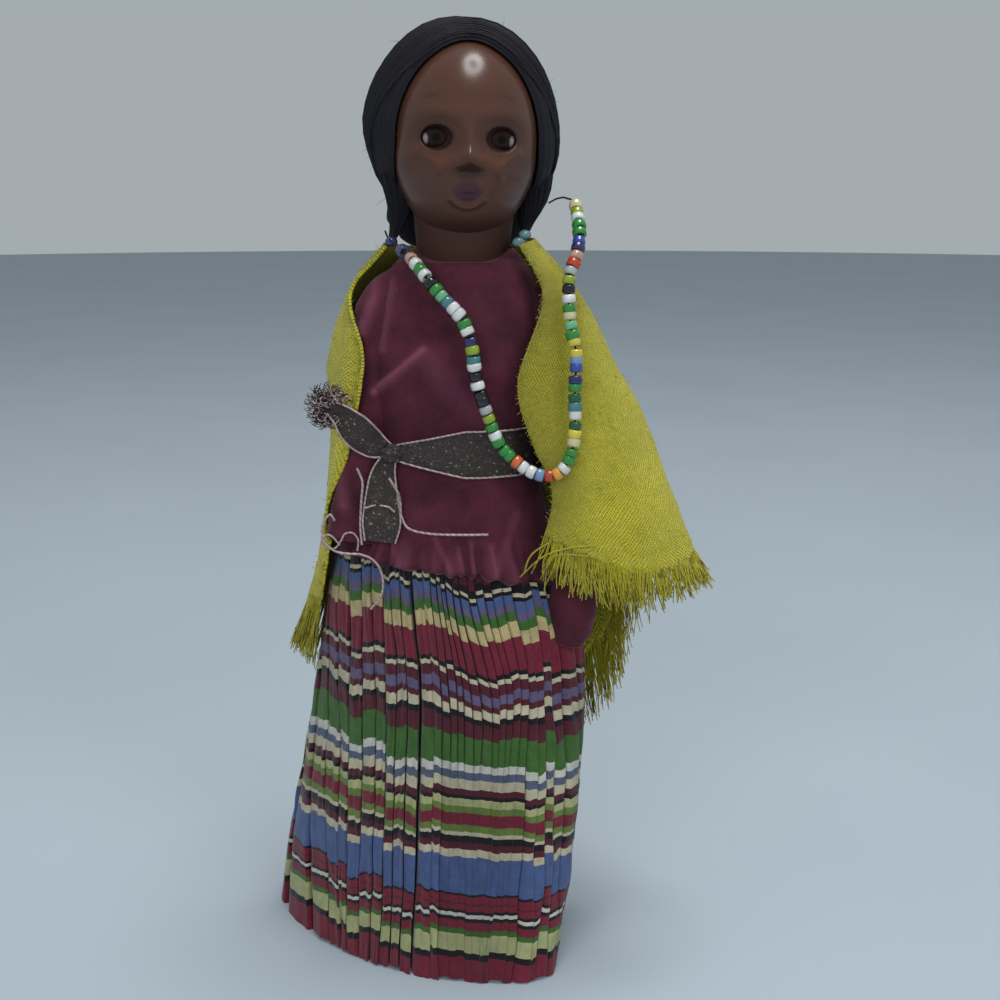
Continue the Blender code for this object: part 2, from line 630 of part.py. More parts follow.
def make_belt(finish):
    """Ribbon belt: a band round the waist, a knot, two tails and the frayed tuft of one."""
    bm = bmesh.new()
    bmesh.ops.create_grid(bm, x_segments=BAND_STEPS, y_segments=1, size=0.5)
    for vert in bm.verts:
        share = vert.co.x + 0.5
        spread = min(1.0, share / 0.2)
        half = BELT_HALF_KNOT + (BELT_HALF_WIDE - BELT_HALF_KNOT) * spread
        angle = math.radians(BELT_START + BELT_SWEEP * share)
        height = BELT_HEIGHT + 2 * half * vert.co.y
        point = section_point(TORSO_ROWS, angle, height, TORSO_POWER)
        normal = Vector((math.cos(angle), math.sin(angle), 0))
        vert.co = point * U + normal * (GAP + RIBBON_THICKNESS * 1.1)
    bmesh.ops.solidify(bm, geom=bm.faces[:], thickness=RIBBON_THICKNESS)
    belt = add_mesh("ribbon_belt", bm, PARTS, finish)
    knot = bmesh.new()
    bmesh.ops.create_uvsphere(knot, u_segments=KNOT_SIDES, v_segments=KNOT_RINGS, radius=1)
    bmesh.ops.scale(knot, verts=knot.verts, vec=[h * U for h in KNOT_HALF])
    kx, kz = from_floor([KNOT_PLACE])[0]
    bmesh.ops.translate(knot, verts=knot.verts,
                        vec=Vector((kx, front_y(kx, kz) - KNOT_HALF[1] - GAP / U - KNOT_STANDS_OUT, kz)) * U)
    combine(belt, add_cutter("knot_form", knot), "UNION")
    for name, tail in (("tail_up_form", TAIL_UP), ("tail_down_form", TAIL_DOWN)):
        combine(belt, strip_mesh(name, from_floor(tail), GAP + RIBBON_THICKNESS, SLEEVE_FRONT), "UNION")
    tuft = bmesh.new()
    bmesh.ops.create_icosphere(tuft, subdivisions=2, radius=1)
    for vert in tuft.verts:
        wave = math.sin(7 * vert.co.x + 5 * vert.co.z) * math.cos(6 * vert.co.y + 4 * vert.co.x)
        ruffle = 1 + TUFT_RUFFLE * wave
        vert.co = Vector([c * h * ruffle for c, h in zip(vert.co, TUFT_HALF)])
    bmesh.ops.translate(tuft, verts=tuft.verts, vec=Vector(TUFT_PLACE) + Vector((0, 0, BELT_HEIGHT)))
    bmesh.ops.scale(tuft, verts=tuft.verts, vec=(U, U, U))
    combine(belt, add_cutter("tuft_form", tuft), "UNION")
    return belt


def make_wire(name, rows, count, finish):
    """A loose gilt wire that lies on the front of the blouse."""
    points = []
    step_foot = BELT_HEIGHT - WIRE_STEP_BELOW
    # Every wire keeps ahead of the sleeve where the lower tail ends
    ahead = front_y(WIRE_LEFT[-1][0], BELT_HEIGHT + TAIL_DOWN[-1][1])
    for x, z in route(from_floor(rows), count):
        over_belt = min(1.0, max(0.0, (z - step_foot) / WIRE_STEP_LENGTH)) if x > WIRE_STEP_X else 0.0
        lie = min(front_y(x, max(z, WAIST)), ahead) * U - GAP * 2 - WIRE_DIAMETER / 2
        lie -= over_belt * (RIBBON_THICKNESS * 2 + GAP * 1.5)
        points.append(Vector((x * U, lie, z * U)))
    return add_mesh(name, tube_mesh(name, points, [WIRE_DIAMETER / 2] * count, 1), PARTS, finish)


clear_scene()
PARTS = new_collection("souvenir_doll")
CUTTERS = new_collection("cutters")

plastic = material("brown_plastic", (0.16, 0.055, 0.028), 0.25)
glass = material("dark_eye", (0.02, 0.01, 0.008), 0.1)
hair = material("black_mohair", (0.012, 0.011, 0.016), 0.65)
maroon = material("maroon_cloth", (0.12, 0.017, 0.032), 0.9)
stripes = material("striped_cloth", (0.25, 0.08, 0.10), 0.85)
wool = material("yellow_wool", (0.42, 0.36, 0.03), 0.95)
lame = material("silver_ribbon", (0.22, 0.20, 0.17), 0.45, 0.7)
gilt = material("gilt_wire", (0.45, 0.36, 0.20), 0.35, 0.9)
bead = material("seed_beads", (0.30, 0.42, 0.28), 0.2)

make_skirt(stripes)
make_blouse(maroon)
make_head(plastic)
add_mesh("left_eye", eye_shape(-1), PARTS, glass)
add_mesh("right_eye", eye_shape(1), PARTS, glass)
make_wig(hair)
make_hair_beads("hair_bead_left", LEFT_HAIR_BEADS, bead)
make_hair_beads("hair_beads_right", RIGHT_HAIR_BEADS, bead)
make_shawl(wool)
make_necklace(bead)
make_belt(lame)
for wire_name, wire_rows, wire_points in zip(
        ("gilt_wire_front", "gilt_wire_left", "gilt_wire_loop"),
        (WIRE_FRONT, WIRE_LEFT, WIRE_LOOP), WIRE_POINTS):
    make_wire(wire_name, wire_rows, wire_points, gilt)
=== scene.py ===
# %% [markdown]
# # A souvenir doll in a striped skirt and a fringed shawl
# The doll stands 190 mm tall. Its head is hard plastic, and everything below it is cloth, ribbon,
# wire, wool and glass beads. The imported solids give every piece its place. This lesson dresses them
# one by one, with the same measures that shaped the solids, and only more points.

# %% Load the fixed frame and keep its box
import math
import random

import bmesh
import bpy
from mathutils import Matrix, Vector, noise


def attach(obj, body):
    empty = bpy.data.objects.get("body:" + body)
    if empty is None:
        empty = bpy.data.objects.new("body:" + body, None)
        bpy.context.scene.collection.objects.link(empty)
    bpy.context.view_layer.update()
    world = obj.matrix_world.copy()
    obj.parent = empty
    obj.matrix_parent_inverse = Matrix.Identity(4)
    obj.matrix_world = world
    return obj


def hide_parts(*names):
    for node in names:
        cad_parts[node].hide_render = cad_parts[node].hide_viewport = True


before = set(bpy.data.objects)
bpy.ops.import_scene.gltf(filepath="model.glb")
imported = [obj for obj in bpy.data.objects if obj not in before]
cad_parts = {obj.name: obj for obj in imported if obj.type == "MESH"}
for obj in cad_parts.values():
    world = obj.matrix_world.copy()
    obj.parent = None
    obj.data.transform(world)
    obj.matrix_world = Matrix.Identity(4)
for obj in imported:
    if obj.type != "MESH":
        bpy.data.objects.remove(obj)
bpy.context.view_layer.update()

MM = 0.001

# %% [markdown]
# ## Camera
# The photograph was taken from a little above the doll's head, about 28 cm away. A real 50 mm lens
# at that distance draws the head larger than the hem, so the place of the camera matters as much as
# its direction. It looks 13 degrees down.

# %% The camera
eye_level = bpy.data.objects.new("camera", bpy.data.cameras.new("camera"))
bpy.context.scene.collection.objects.link(eye_level)
eye_level.location = (0.0177, -0.2764, 0.1605)
eye_level.rotation_euler = (math.radians(77), 0, 0)
eye_level.data.lens = 50
eye_level.data.sensor_width = 36
eye_level.data.clip_start = 0.01
bpy.context.scene.camera = eye_level
print("camera at", tuple(eye_level.location))

# %% [markdown]
# ## Light and floor
# The photograph is lit softly from all round, with one wide lamp almost overhead: it leaves a crisp
# ring high on the forehead and a short spot on the nose. The ring's dark middle comes from a small
# disc that hangs under the lamp. The pale floor fills the shade from below.

# %% Floor, lamps and surroundings
bm = bmesh.new()
bmesh.ops.create_circle(bm, cap_ends=True, segments=96, radius=3)
floor = bpy.data.objects.new("floor", bpy.data.meshes.new("floor"))
bm.to_mesh(floor.data)
bm.free()
bpy.context.scene.collection.objects.link(floor)


def add_lamp(name, place, size, power, shows, tint):
    """An oval lamp that faces the doll; gloss mirrors it only if it shows."""
    lamp = bpy.data.objects.new(name, bpy.data.lights.new(name, "AREA"))
    lamp.data.shape = "ELLIPSE"
    lamp.data.size, lamp.data.size_y = size
    lamp.data.energy = power
    lamp.data.color = tint
    lamp.location = place
    lamp.visible_glossy = shows
    aim = Vector((0.01, 0, 0.11)) - lamp.location
    lamp.rotation_euler = aim.to_track_quat("-Z", "Y").to_euler()
    bpy.context.scene.collection.objects.link(lamp)


OVERHEAD = (0.15, -0.03)
add_lamp("overhead", (*OVERHEAD, 1.1), (0.6, 0.4), 9.0, True, (1, 1, 1))
add_lamp("window", (-0.25, -0.9, 0.5), (0.6, 0.6), 4.0, False, (0.93, 0.97, 1.0))
add_lamp("fill", (0.5, -0.7, 0.4), (0.6, 0.6), 2.0, False, (0.95, 0.98, 1.0))
world = bpy.data.worlds.new("studio")
world.use_nodes = True
world.node_tree.nodes["Background"].inputs["Color"].default_value = (0.50, 0.55, 0.58, 1)
world.node_tree.nodes["Background"].inputs["Strength"].default_value = 0.75
bpy.context.scene.world = world
bpy.context.scene.view_settings.view_transform = "Standard"
bm = bmesh.new()
bmesh.ops.create_circle(bm, cap_ends=True, segments=48, radius=0.1,
                        matrix=Matrix.Translation((*OVERHEAD, 1.08)))
baffle = bpy.data.objects.new("lamp_baffle", bpy.data.meshes.new("lamp_baffle"))
bm.to_mesh(baffle.data)
bm.free()
bpy.context.scene.collection.objects.link(baffle)
print("three lamps, a disc in the middle of one, and a pale floor")

# %% [markdown]
# ## Shader maths as ordinary sums
# Fibres, stripes and painted lips are all small formulas. A class that wraps one socket lets the
# formulas be written as Python sums, and each sum adds its Math node. A second class holds the
# material that is being made. Its node() method adds every other kind of node.

# %% Sockets that can be added and multiplied
class Value:
    """One socket of a material; a sum on it adds a Math node."""

    def __init__(self, finish, socket):
        self.finish, self.socket = finish, socket

    def math(self, operation, *values, first=None):
        values = (self, *values) if first is None else (first, self)
        return self.finish.node("Math", {"operation": operation}, dict(enumerate(values)))

    def __add__(self, other): return self.math("ADD", other)
    def __radd__(self, other): return self.math("ADD", other)
    def __sub__(self, other): return self.math("SUBTRACT", other)
    def __rsub__(self, other): return self.math("SUBTRACT", first=other)
    def __mul__(self, other): return self.math("MULTIPLY", other)
    def __rmul__(self, other): return self.math("MULTIPLY", other)
    def __truediv__(self, other): return self.math("DIVIDE", other)
    def __pow__(self, other): return self.math("POWER", other)

    def sin(self): return self.math("SINE")
    def abs(self): return self.math("ABSOLUTE")
    def sqrt(self): return self.math("SQRT")
    def above(self, edge, soft): return ((self - edge) / soft + 0.5).clamp()

    def clamp(self):
        return self.finish.node("Clamp", {}, {"Value": self})


def srgb(red, green, blue):
    """A colour as a picture editor gives it, 0 to 255, as Blender's linear light."""
    return [((c / 255 + 0.055) / 1.055) ** 2.4 if c > 10 else c / 255 / 12.92 for c in (red, green, blue)]


class Finish:
    """A material in the making. Settings that never vary go straight to the shader's sockets."""

    def __init__(self, name, slot, **fixed):
        self.material = bpy.data.materials.new(name)
        self.material.use_nodes = True
        self.slot = slot
        self.tree = self.material.node_tree
        self.shader = self.tree.nodes["Principled BSDF"]
        for key, value in fixed.items():
            self.shader.inputs[key.replace("_", " ")].default_value = value

    def node(self, kind, settings, sockets, out=0):
        made = self.tree.nodes.new("ShaderNode" + kind)
        for key, value in settings.items():
            if key == "stops":
                stops = made.color_ramp.elements
                for place, _ in value[2:]:
                    stops.new(place)
                for stop, (place, tint) in zip(stops, value):
                    stop.position, stop.color = place, (*tint, 1)
            elif key == "steps":
                made.color_ramp.interpolation = value
            else:
                setattr(made, key, value)
        for key, value in sockets.items():
            if isinstance(value, Value):
                self.tree.links.new(value.socket, made.inputs[key])
            elif hasattr(value, "__len__") and made.inputs[key].type == "RGBA":
                made.inputs[key].default_value = (*value, 1)
            else:
                made.inputs[key].default_value = value
        return Value(self, made.outputs[out])

    def place(self, attribute=None):
        """Object coordinates, or the piece's own attribute."""
        if attribute:
            return self.node("Attribute", {"attribute_name": attribute}, {}, "Vector")
        return self.node("TexCoord", {}, {}, "Object")

    def parts(self, vector):
        return [self.node("SeparateXYZ", {}, {0: vector}, k) for k in range(3)]

    def join(self, x, y, z):
        return self.node("CombineXYZ", {}, {0: x, 1: y, 2: z})

    def noise(self, vector, scale, detail=2.0, roughness=0.5):
        return self.node("TexNoise", {}, {"Vector": vector, "Scale": scale, "Detail": detail,
                                          "Roughness": roughness}, "Fac")

    def mix(self, factor, one, other):
        return self.node("Mix", {"data_type": "RGBA"}, {0: factor, 6: one, 7: other}, 2)

    def shade(self, colour, value):
        """A colour made darker or brighter by a value."""
        return self.node("VectorMath", {"operation": "SCALE"}, {0: colour, "Scale": value})

    def feed(self, height=None, depth=0.0001, **sockets):
        for key, value in sockets.items():
            self.tree.links.new(value.socket, self.shader.inputs[key.replace("_", " ")])
        if height is not None:
            bump = self.node("Bump", {}, {"Height": height, "Distance": depth, "Strength": 1.0})
            self.tree.links.new(bump.socket, self.shader.inputs["Normal"])
        return self


stone = Finish("floor_paint", None, Roughness=0.75)
floor_tint = stone.mix(stone.noise(stone.place(), 9.0), srgb(158, 169, 178), srgb(168, 179, 187))
stone.feed(Base_Color=floor_tint)
floor.data.materials.append(stone.material)
print("shader helpers are ready")

# %% [markdown]
# ## Turning a bmesh or a bundle of threads into a piece
# Everything is shaped in millimetres, which suits an object this small, and scaled to metres at the
# end. Threads, hairs and wires are curves with a round bevel: a curve keeps its thickness round any
# bend, which is hard to get by moving vertices.

# %% Pieces from a bmesh and from lines
def add_piece(name, mesh, finish, replaces=()):
    """Link a mesh as a piece of the doll that rides on its one body."""
    piece = bpy.data.objects.new(name, mesh)
    bpy.context.scene.collection.objects.link(piece)
    mesh.materials.append(finish.material)
    mesh.shade_smooth()
    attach(piece, "root")
    if replaces:
        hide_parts(*replaces)
    print(name, "has", sum(len(p.vertices) - 2 for p in mesh.polygons), "triangles")
    return piece


def from_bmesh(name, bm, finish, replaces=()):
    """Scale millimetres to metres and make the piece."""
    bmesh.ops.scale(bm, verts=bm.verts, vec=(MM, MM, MM))
    mesh = bpy.data.meshes.new(name)
    bm.to_mesh(mesh)
    bm.free()
    return add_piece(name, mesh, finish, replaces)


def thread_curve(name, lines, radius, roundness=0):
    """A curve with one spline for each line; a line's points are x, y, z and a share of the radius."""
    curve = bpy.data.curves.new(name, "CURVE")
    curve.dimensions = "3D"
    curve.bevel_depth = radius * MM
    curve.bevel_resolution = roundness
    curve.use_fill_caps = True
    for line in lines:
        spline = curve.splines.new("POLY")
        spline.points.add(len(line) - 1)
        for point, (x, y, z, *share) in zip(spline.points, line):
            point.co = (x * MM, y * MM, z * MM, 1)
            point.radius = share[0] if share else 1.0
    return curve


def from_lines(name, lines, radius, finish, replaces=(), roundness=0):
    """Many threads as one piece."""
    curve = thread_curve(name, lines, radius, roundness)
    holder = bpy.data.objects.new(name + "_line", curve)
    bpy.context.scene.collection.objects.link(holder)
    mesh = bpy.data.meshes.new_from_object(holder.evaluated_get(bpy.context.evaluated_depsgraph_get()))
    bpy.data.objects.remove(holder)
    return add_piece(name, mesh, finish, replaces)


# %% [markdown]
# ## Smooth curves through a few rows
# The solids were drawn from short tables: a section of the body at each height, or points along a
# sleeve. A Hermite curve through those rows gives any number of points in between.

# %% Rows, routes and rounded sections
def blend_rows(rows, at):
    """Values at one height, on a smooth curve through rows that start with their height."""
    at = min(max(at, rows[0][0]), rows[-1][0])
    first = max(k for k in range(len(rows) - 1) if rows[k][0] <= at)
    before, here, there, after = (rows[max(0, min(len(rows) - 1, k))] for k in range(first - 1, first + 3))
    span = there[0] - here[0]
    t = (at - here[0]) / span
    h0, h1 = 2 * t ** 3 - 3 * t * t + 1, 3 * t * t - 2 * t ** 3
    g0, g1 = (t ** 3 - 2 * t * t + t) * span, (t ** 3 - t * t) * span
    return [h0 * here[k] + g0 * (there[k] - before[k]) / (there[0] - before[0])
            + h1 * there[k] + g1 * (after[k] - here[k]) / (after[0] - here[0]) for k in range(1, len(here))]


def along(points, t):
    """Point at share t of a smooth curve through the points."""
    return blend_rows([(k, *point) for k, point in enumerate(points)], t * (len(points) - 1))


def route(points, count):
    return [along(points, k / (count - 1)) for k in range(count)]


def section_point(rows, angle, height, power, lift=0.0):
    """Point on the rounded section at a height, at an angle from +X, stood off by lift."""
    cx, cy, long, deep, turn = blend_rows(rows, height)
    local = angle - math.radians(turn)
    c, s = math.cos(local), math.sin(local)
    radius = ((abs(c) / (long + lift)) ** power + (abs(s) / (deep + lift)) ** power) ** (-1 / power)
    return Vector((cx + radius * math.cos(angle), cy + radius * math.sin(angle), height))


def smooth(low, high, x):
    """0 below low, 1 above high, and an S curve between."""
    t = min(1.0, max(0.0, (x - low) / (high - low)))
    return t * t * (3 - 2 * t)


def ridges(lines, x, z):
    """Height at x, z of rounded ridges: each has two ends, a width and how far it stands out."""
    lift = 0.0
    for (ax, az), (bx, bz), width, out in lines:
        dx, dz = bx - ax, bz - az
        t = min(1.0, max(0.0, ((x - ax) * dx + (z - az) * dz) / (dx * dx + dz * dz)))
        lift += out * math.exp(-(math.hypot(x - ax - dx * t, z - az - dz * t) / width) ** 2)
    return lift


def open_column(sides, rings):
    """A tube of unit height without caps, whose vertices are moved afterwards."""
    bm = bmesh.new()
    bmesh.ops.create_cone(bm, cap_ends=False, segments=sides, radius1=1, radius2=1, depth=1)
    upright = [e for e in bm.edges if abs(e.verts[0].co.z - e.verts[1].co.z) > 0.5]
    bmesh.ops.subdivide_edges(bm, edges=upright, cuts=rings - 1, use_grid_fill=True)
    return bm


def around(vert):
    """Angle of a tube's vertex from +X, from 0 to a full turn."""
    return math.atan2(vert.co.y, vert.co.x) % math.tau


print("helpers for shapes are ready")

# %% [markdown]
# ## The plastic
# The head is moulded in glossy brown plastic. The colour is a little uneven and redder on the cheeks.
# Painted shade darkens the eye hollows and the underside of the nose. Lips, brows and the rims of the
# eyes are sprayed on thinly, so they are soft spots of colour in the head's own axes, which the mesh
# carries as an attribute. Below the chin shade is painted in, and the plastic is duller there.

# %% Brown plastic with its painted features
plastic = Finish("brown_plastic_gloss", "brown_plastic", Specular_IOR_Level=0.3)
x, y, z = plastic.parts(plastic.place("head"))
mirrored = x.abs()


def spot(across, up, x_mid, z_mid, wide, tall, soft):
    """1 inside an ellipse on the face, 0 outside it, with a soft edge."""
    apart = (((across - x_mid) / wide) ** 2 + ((up - z_mid) / tall) ** 2).sqrt()
    return 1 - apart.above(1.0, soft)


grain = plastic.noise(plastic.place(), 60.0, 3.0)
skin = plastic.mix(grain, srgb(66, 41, 32), srgb(82, 53, 41))
cheek = spot(mirrored, z, 6.5, -4.5, 5.0, 4.5, 0.9)
skin = plastic.mix(cheek * 0.3, skin, srgb(92, 53, 42))
# Painted shade in the eye hollows
eye_hollow_shade = spot(mirrored, z, 5.8, 1.2, 4.2, 3.4, 0.9)
skin = plastic.mix(eye_hollow_shade * 0.55, skin, srgb(54, 36, 32))
rim = spot(mirrored, z, 6.05, 0.2, 2.9, 2.2, 0.6)
skin = plastic.mix(rim * 0.8, skin, srgb(34, 24, 23))
brow = spot(mirrored, z + mirrored * mirrored * 0.015, 7.2, 8.6, 1.6, 0.4, 0.9)
skin = plastic.mix(brow * 0.35, skin, srgb(44, 28, 26))
# Painted shade under the nose
under_nose_shade = spot(mirrored, z, 0.0, -5.8, 2.7, 1.3, 0.8)
skin = plastic.mix(under_nose_shade * 0.7, skin, srgb(44, 28, 26))
lips = spot(mirrored, z, 0.0, -9.4, 2.6, 1.8, 0.5)
skin = plastic.mix(lips * 0.9, skin, srgb(58, 32, 42))
# Painted shade below the chin and on the neck
underside = 1 - z.above(-14.4, 3.0)
lower = 1 - z.above(-12.5, 2.5)
skin = plastic.mix(underside * 0.6, skin, srgb(46, 28, 26))
plastic.feed(Base_Color=skin, Roughness=0.22 + grain * 0.06 + lips * 0.1 + rim * 0.25 + lower * 0.4,
             height=plastic.noise(plastic.place(), 2600.0), depth=0.000008)
print("painted plastic is ready")

# %% [markdown]
# ## The head
# A ball whose pole faces forward puts its densest rings on the face, just where the nose, lips and
# eye rims need them. Each feature is a smooth mound or dip added to the skull. The sockets are sunk
# so that the glass eyes sit inside their lids.

# %% The head with its face and neck
HEAD_HALF = (14.3, 17.0, 19.3)
HEAD = (Matrix.Translation((10.9, 4.0, 167.7)) @ Matrix.Rotation(math.radians(2), 4, "Y")
        @ Matrix.Rotation(math.radians(4.2), 4, "Z"))
EYE = (6.05, -13.4, 0.2)
# Mounds of the face: x, z, spread in x, spread in z, how far it stands out; x is mirrored if not 0
FACE_FORMS = [
    (0.0, -3.6, 1.9, 2.0, 2.7), (0.0, -0.8, 1.5, 3.2, 1.4), (0.0, -9.3, 2.6, 1.9, 1.2),
    (0.0, -14.2, 3.6, 2.3, 1.1), (6.3, -5.0, 3.8, 3.6, 1.0), (6.3, 0.2, 3.2, 2.1, -1.2),
    (5.2, 4.6, 4.6, 1.6, 0.5), (1.8, -4.7, 0.9, 0.8, 0.6), (0.8, -5.8, 0.5, 0.4, -0.6),
    (0.0, -7.4, 0.9, 0.7, 0.5), (0.0, -9.9, 1.5, 0.5, -0.25),
]
# Two narrow ridges under each eye: both ends as x and z, the width and how far it stands out
FACE_RIDGES = [((2.9, -3.9), (6.0, -5.6), 1.2, 0.7), ((6.6, -4.4), (9.2, -2.2), 0.9, 0.4)]


def skull_point(direction, lift=0.0):
    """Point of the plain skull in a direction from its middle, stood off by lift."""
    reach = math.sqrt(sum((d / (h + lift)) ** 2 for d, h in zip(direction, HEAD_HALF)))
    return Vector(direction) / reach


def facing_sphere(sides, rings):
    """A ball whose pole faces -Y, with its rings drawn together towards that pole."""
    bm = bmesh.new()
    bmesh.ops.create_uvsphere(bm, u_segments=sides, v_segments=rings, radius=1)
    for vert in bm.verts:
        polar = math.pi * (math.acos(max(-1.0, min(1.0, vert.co.z))) / math.pi) ** 1.4
        turn = math.atan2(vert.co.y, vert.co.x)
        vert.co = (math.sin(polar) * math.cos(turn), -math.cos(polar), math.sin(polar) * math.sin(turn))
    return bm


def face_relief(x, z):
    """How far the face stands out of the plain skull."""
    relief = 0.0
    for form_x, form_z, wide, tall, out in FACE_FORMS:
        for side in ((1, -1) if form_x else (1,)):
            relief += out * math.exp(-((x - side * form_x) / wide) ** 2 - ((z - form_z) / tall) ** 2)
    relief += ridges(FACE_RIDGES, abs(x), z)
    socket = math.hypot((abs(x) - EYE[0]) / 2.8, (z - EYE[2]) / 2.2)
    relief += 0.15 * math.exp(-((socket - 1.2) / 0.2) ** 2) - 1.5 * smooth(1.12, 0.8, socket)
    mouth = math.hypot(x / 3.4, (z + 9.4) / 3.0)
    return relief + 0.85 * math.exp(-((mouth - 1.0) / 0.17) ** 2) * smooth(-9.2, -11.2, z)


bm = facing_sphere(240, 220)
axes = bm.verts.layers.float_vector.new("head")
for vert in bm.verts:
    point = skull_point(vert.co)
    if vert.co.y < 0:
        point.y -= face_relief(point.x, point.z) * min(1.0, -vert.co.y * 3)
    vert.co = point
bmesh.ops.create_cone(bm, cap_ends=False, segments=96, radius1=8.8, radius2=10.4, depth=14,
                      matrix=Matrix.Translation((0.2, 1.8, -17.6)))
for vert in bm.verts:
    vert[axes] = vert.co
bm.transform(HEAD)
from_bmesh("doll_head_fine", bm, plastic, ["doll_head"])

# %% [markdown]
# ## Glass eyes
# The eyes are dark brown almost to the lids. Only a thin sliver of white shows at each outer corner.
# A flattened ball is enough for each, since its edge is sunk behind the lids. Its gloss is kept low,
# so that the eyes stay dark.

# %% Both eyes
glass = Finish("dark_eye_glass", "dark_eye", Specular_IOR_Level=0.12)
outward, _, upward = glass.parts(glass.place("eye"))
iris = glass.mix(spot(outward, upward, -0.3, 0.0, 0.85, 0.85, 0.3), srgb(34, 23, 20), srgb(12, 9, 9))
white = spot(outward, upward, 1.95, -0.3, 0.6, 0.9, 0.7)
glass.feed(Base_Color=glass.mix(white, iris, srgb(134, 120, 122)), Roughness=0.3 - white * 0.1)

for side, name in ((-1, "left_eye"), (1, "right_eye")):
    bm = bmesh.new()
    bmesh.ops.create_uvsphere(bm, u_segments=48, v_segments=32, radius=1)
    bmesh.ops.scale(bm, verts=bm.verts, vec=(2.6, 1.3, 2.0))
    local = bm.verts.layers.float_vector.new("eye")
    for vert in bm.verts:
        vert[local] = (vert.co.x * side, vert.co.y, vert.co.z)
    bmesh.ops.rotate(bm, verts=bm.verts, matrix=Matrix.Rotation(math.radians(16 * side), 3, "Z"))
    bmesh.ops.translate(bm, verts=bm.verts, vec=(side * EYE[0], EYE[1] + 0.4, EYE[2]))
    bm.transform(HEAD)
    from_bmesh(name + "_glass", bm, glass, [name])

# %% [markdown]
# ## The wig
# Mohair is glued over the head, parted in the middle, combed to both sides and tied below the ears.
# A cap gives the mass and the outline. Its colour and bump run along the combing, because the cap
# carries an attribute that counts across the strands. Loose strands are laid over it afterwards.

# %% Black mohair and the cap of the wig
mohair = Finish("black_mohair_combed", "black_mohair", Roughness=0.6, Specular_IOR_Level=0.2)
across, length, _ = mohair.parts(mohair.place("flow"))
strands = mohair.noise(mohair.join(across * 3.5, length * 0.12, 0.0), 1.0, 3.0, 0.6)
fine = mohair.noise(mohair.join(across * 11.0, length * 0.3, 4.0), 1.0, 2.0)
mohair.feed(Base_Color=mohair.mix(strands, srgb(11, 10, 13), srgb(36, 34, 41)), Roughness=0.5 + fine * 0.25,
            height=strands * 0.7 + fine * 0.3, depth=0.0003)

HAIR = 3.0


def hairline(up):
    """Polar angle of the wig's front edge; up is 1 over the forehead and -1 under the chin."""
    return math.radians(64 + 3 * max(up, 0.0) ** 4 + 3 * max(up, 0.0) ** 30 + 64 * max(-up, 0.0) ** 1.7)


def hair_point(turn, share, lift=0.0):
    """Point on the wig: turn goes round the forward axis from +X, share runs from hairline to back."""
    edge = hairline(math.sin(turn))
    polar = edge + (math.pi - edge) * share
    direction = Vector((math.sin(polar) * math.cos(turn), -math.cos(polar),
                        math.sin(polar) * math.sin(turn)))
    full = min(1.0, (polar - edge) / 0.45)
    parting = math.exp(-(direction.x / 0.07) ** 2) if direction.z > 0 else 0.0
    thin_left = smooth(0.25, -0.35, direction.z) * max(0.0, -direction.x)
    thick = 0.3 + 0.9 * full - 0.04 * parting - 0.6 * thin_left
    thick += full * (0.25 * abs(direction.x) - 0.3 * direction.x)
    return skull_point(direction, 0.5 + HAIR * thick * smooth(-0.03, 0.10, full) + lift)


bm = open_column(200, 110)
flow = bm.verts.layers.float_vector.new("flow")
for vert in bm.verts:
    turn, share = around(vert), vert.co.z + 0.5
    ripple = 0.35 * noise.noise(Vector((share * 26, math.cos(turn) * 1.3, math.sin(turn) * 1.3)))
    vert.co = hair_point(turn, share, ripple * smooth(0, 0.1, share))
    vert[flow] = (share * 40, turn * 16, 0)
bmesh.ops.remove_doubles(bm, verts=bm.verts, dist=0.001)
bmesh.ops.recalc_face_normals(bm, faces=bm.faces)
bm.transform(HEAD)
from_bmesh("wig_cap", bm, mohair, ["wig"])

# %% [markdown]
# ## Locks, combed strands and flyaways
# Each side ends in a gathered lock. Its strands start at the parting, sweep down over the ear and
# run on along the lock, a little apart. Fine short hairs stand free of the outline, because mohair
# always has them. A low roll of hair covers the nape.

# %% Locks and strands
TIES = {-1: Vector((-3.6, 0.2, 148.6)), 1: Vector((22.6, 0.4, 149.9))}
LOCKS = {
    -1: [(-12.6, 4.0, -1.0, 4.6), (-12.8, 3.0, -7.0, 4.0), (-12.4, 2.0, -12.0, 2.9), (-13.0, 0.0, -16.4, 1.5)],
    1: [(12.4, 4.0, -1.0, 4.6), (13.8, 3.0, -6.0, 4.2), (13.8, 2.0, -11.0, 3.1), (12.6, 0.4, -15.2, 1.6)],
}
for side, lock in LOCKS.items():
    lock.append((*(HEAD.inverted() @ TIES[side]), 0.55))
random.seed(11)
for side, lock in LOCKS.items():
    bm = open_column(60, 40)
    flow = bm.verts.layers.float_vector.new("flow")
    for vert in bm.verts:
        turn, down = around(vert), 0.5 - vert.co.z
        x, y, z, radius = along(lock, down)
        rounded = math.sqrt(max(0.0, 1 - max(0.0, (down - 0.93) / 0.07) ** 2))
        radius *= 0.92 * rounded * smooth(-0.25, 0.2, down)
        bumps = noise.noise(Vector((math.cos(turn) * 4, math.sin(turn) * 4, down * 2)))
        radius += 0.3 * bumps * smooth(0, 0.2, down)
        vert.co = (x + radius * math.cos(turn), y + radius * math.sin(turn), z)
        vert[flow] = (turn * 5, down * 16, 0)
    bmesh.ops.recalc_face_normals(bm, faces=bm.faces)
    bm.transform(HEAD)
    from_bmesh("lock_left" if side < 0 else "lock_right", bm, mohair)
bm = bmesh.new()
bmesh.ops.create_uvsphere(bm, u_segments=60, v_segments=40, radius=1)
flow = bm.verts.layers.float_vector.new("flow")
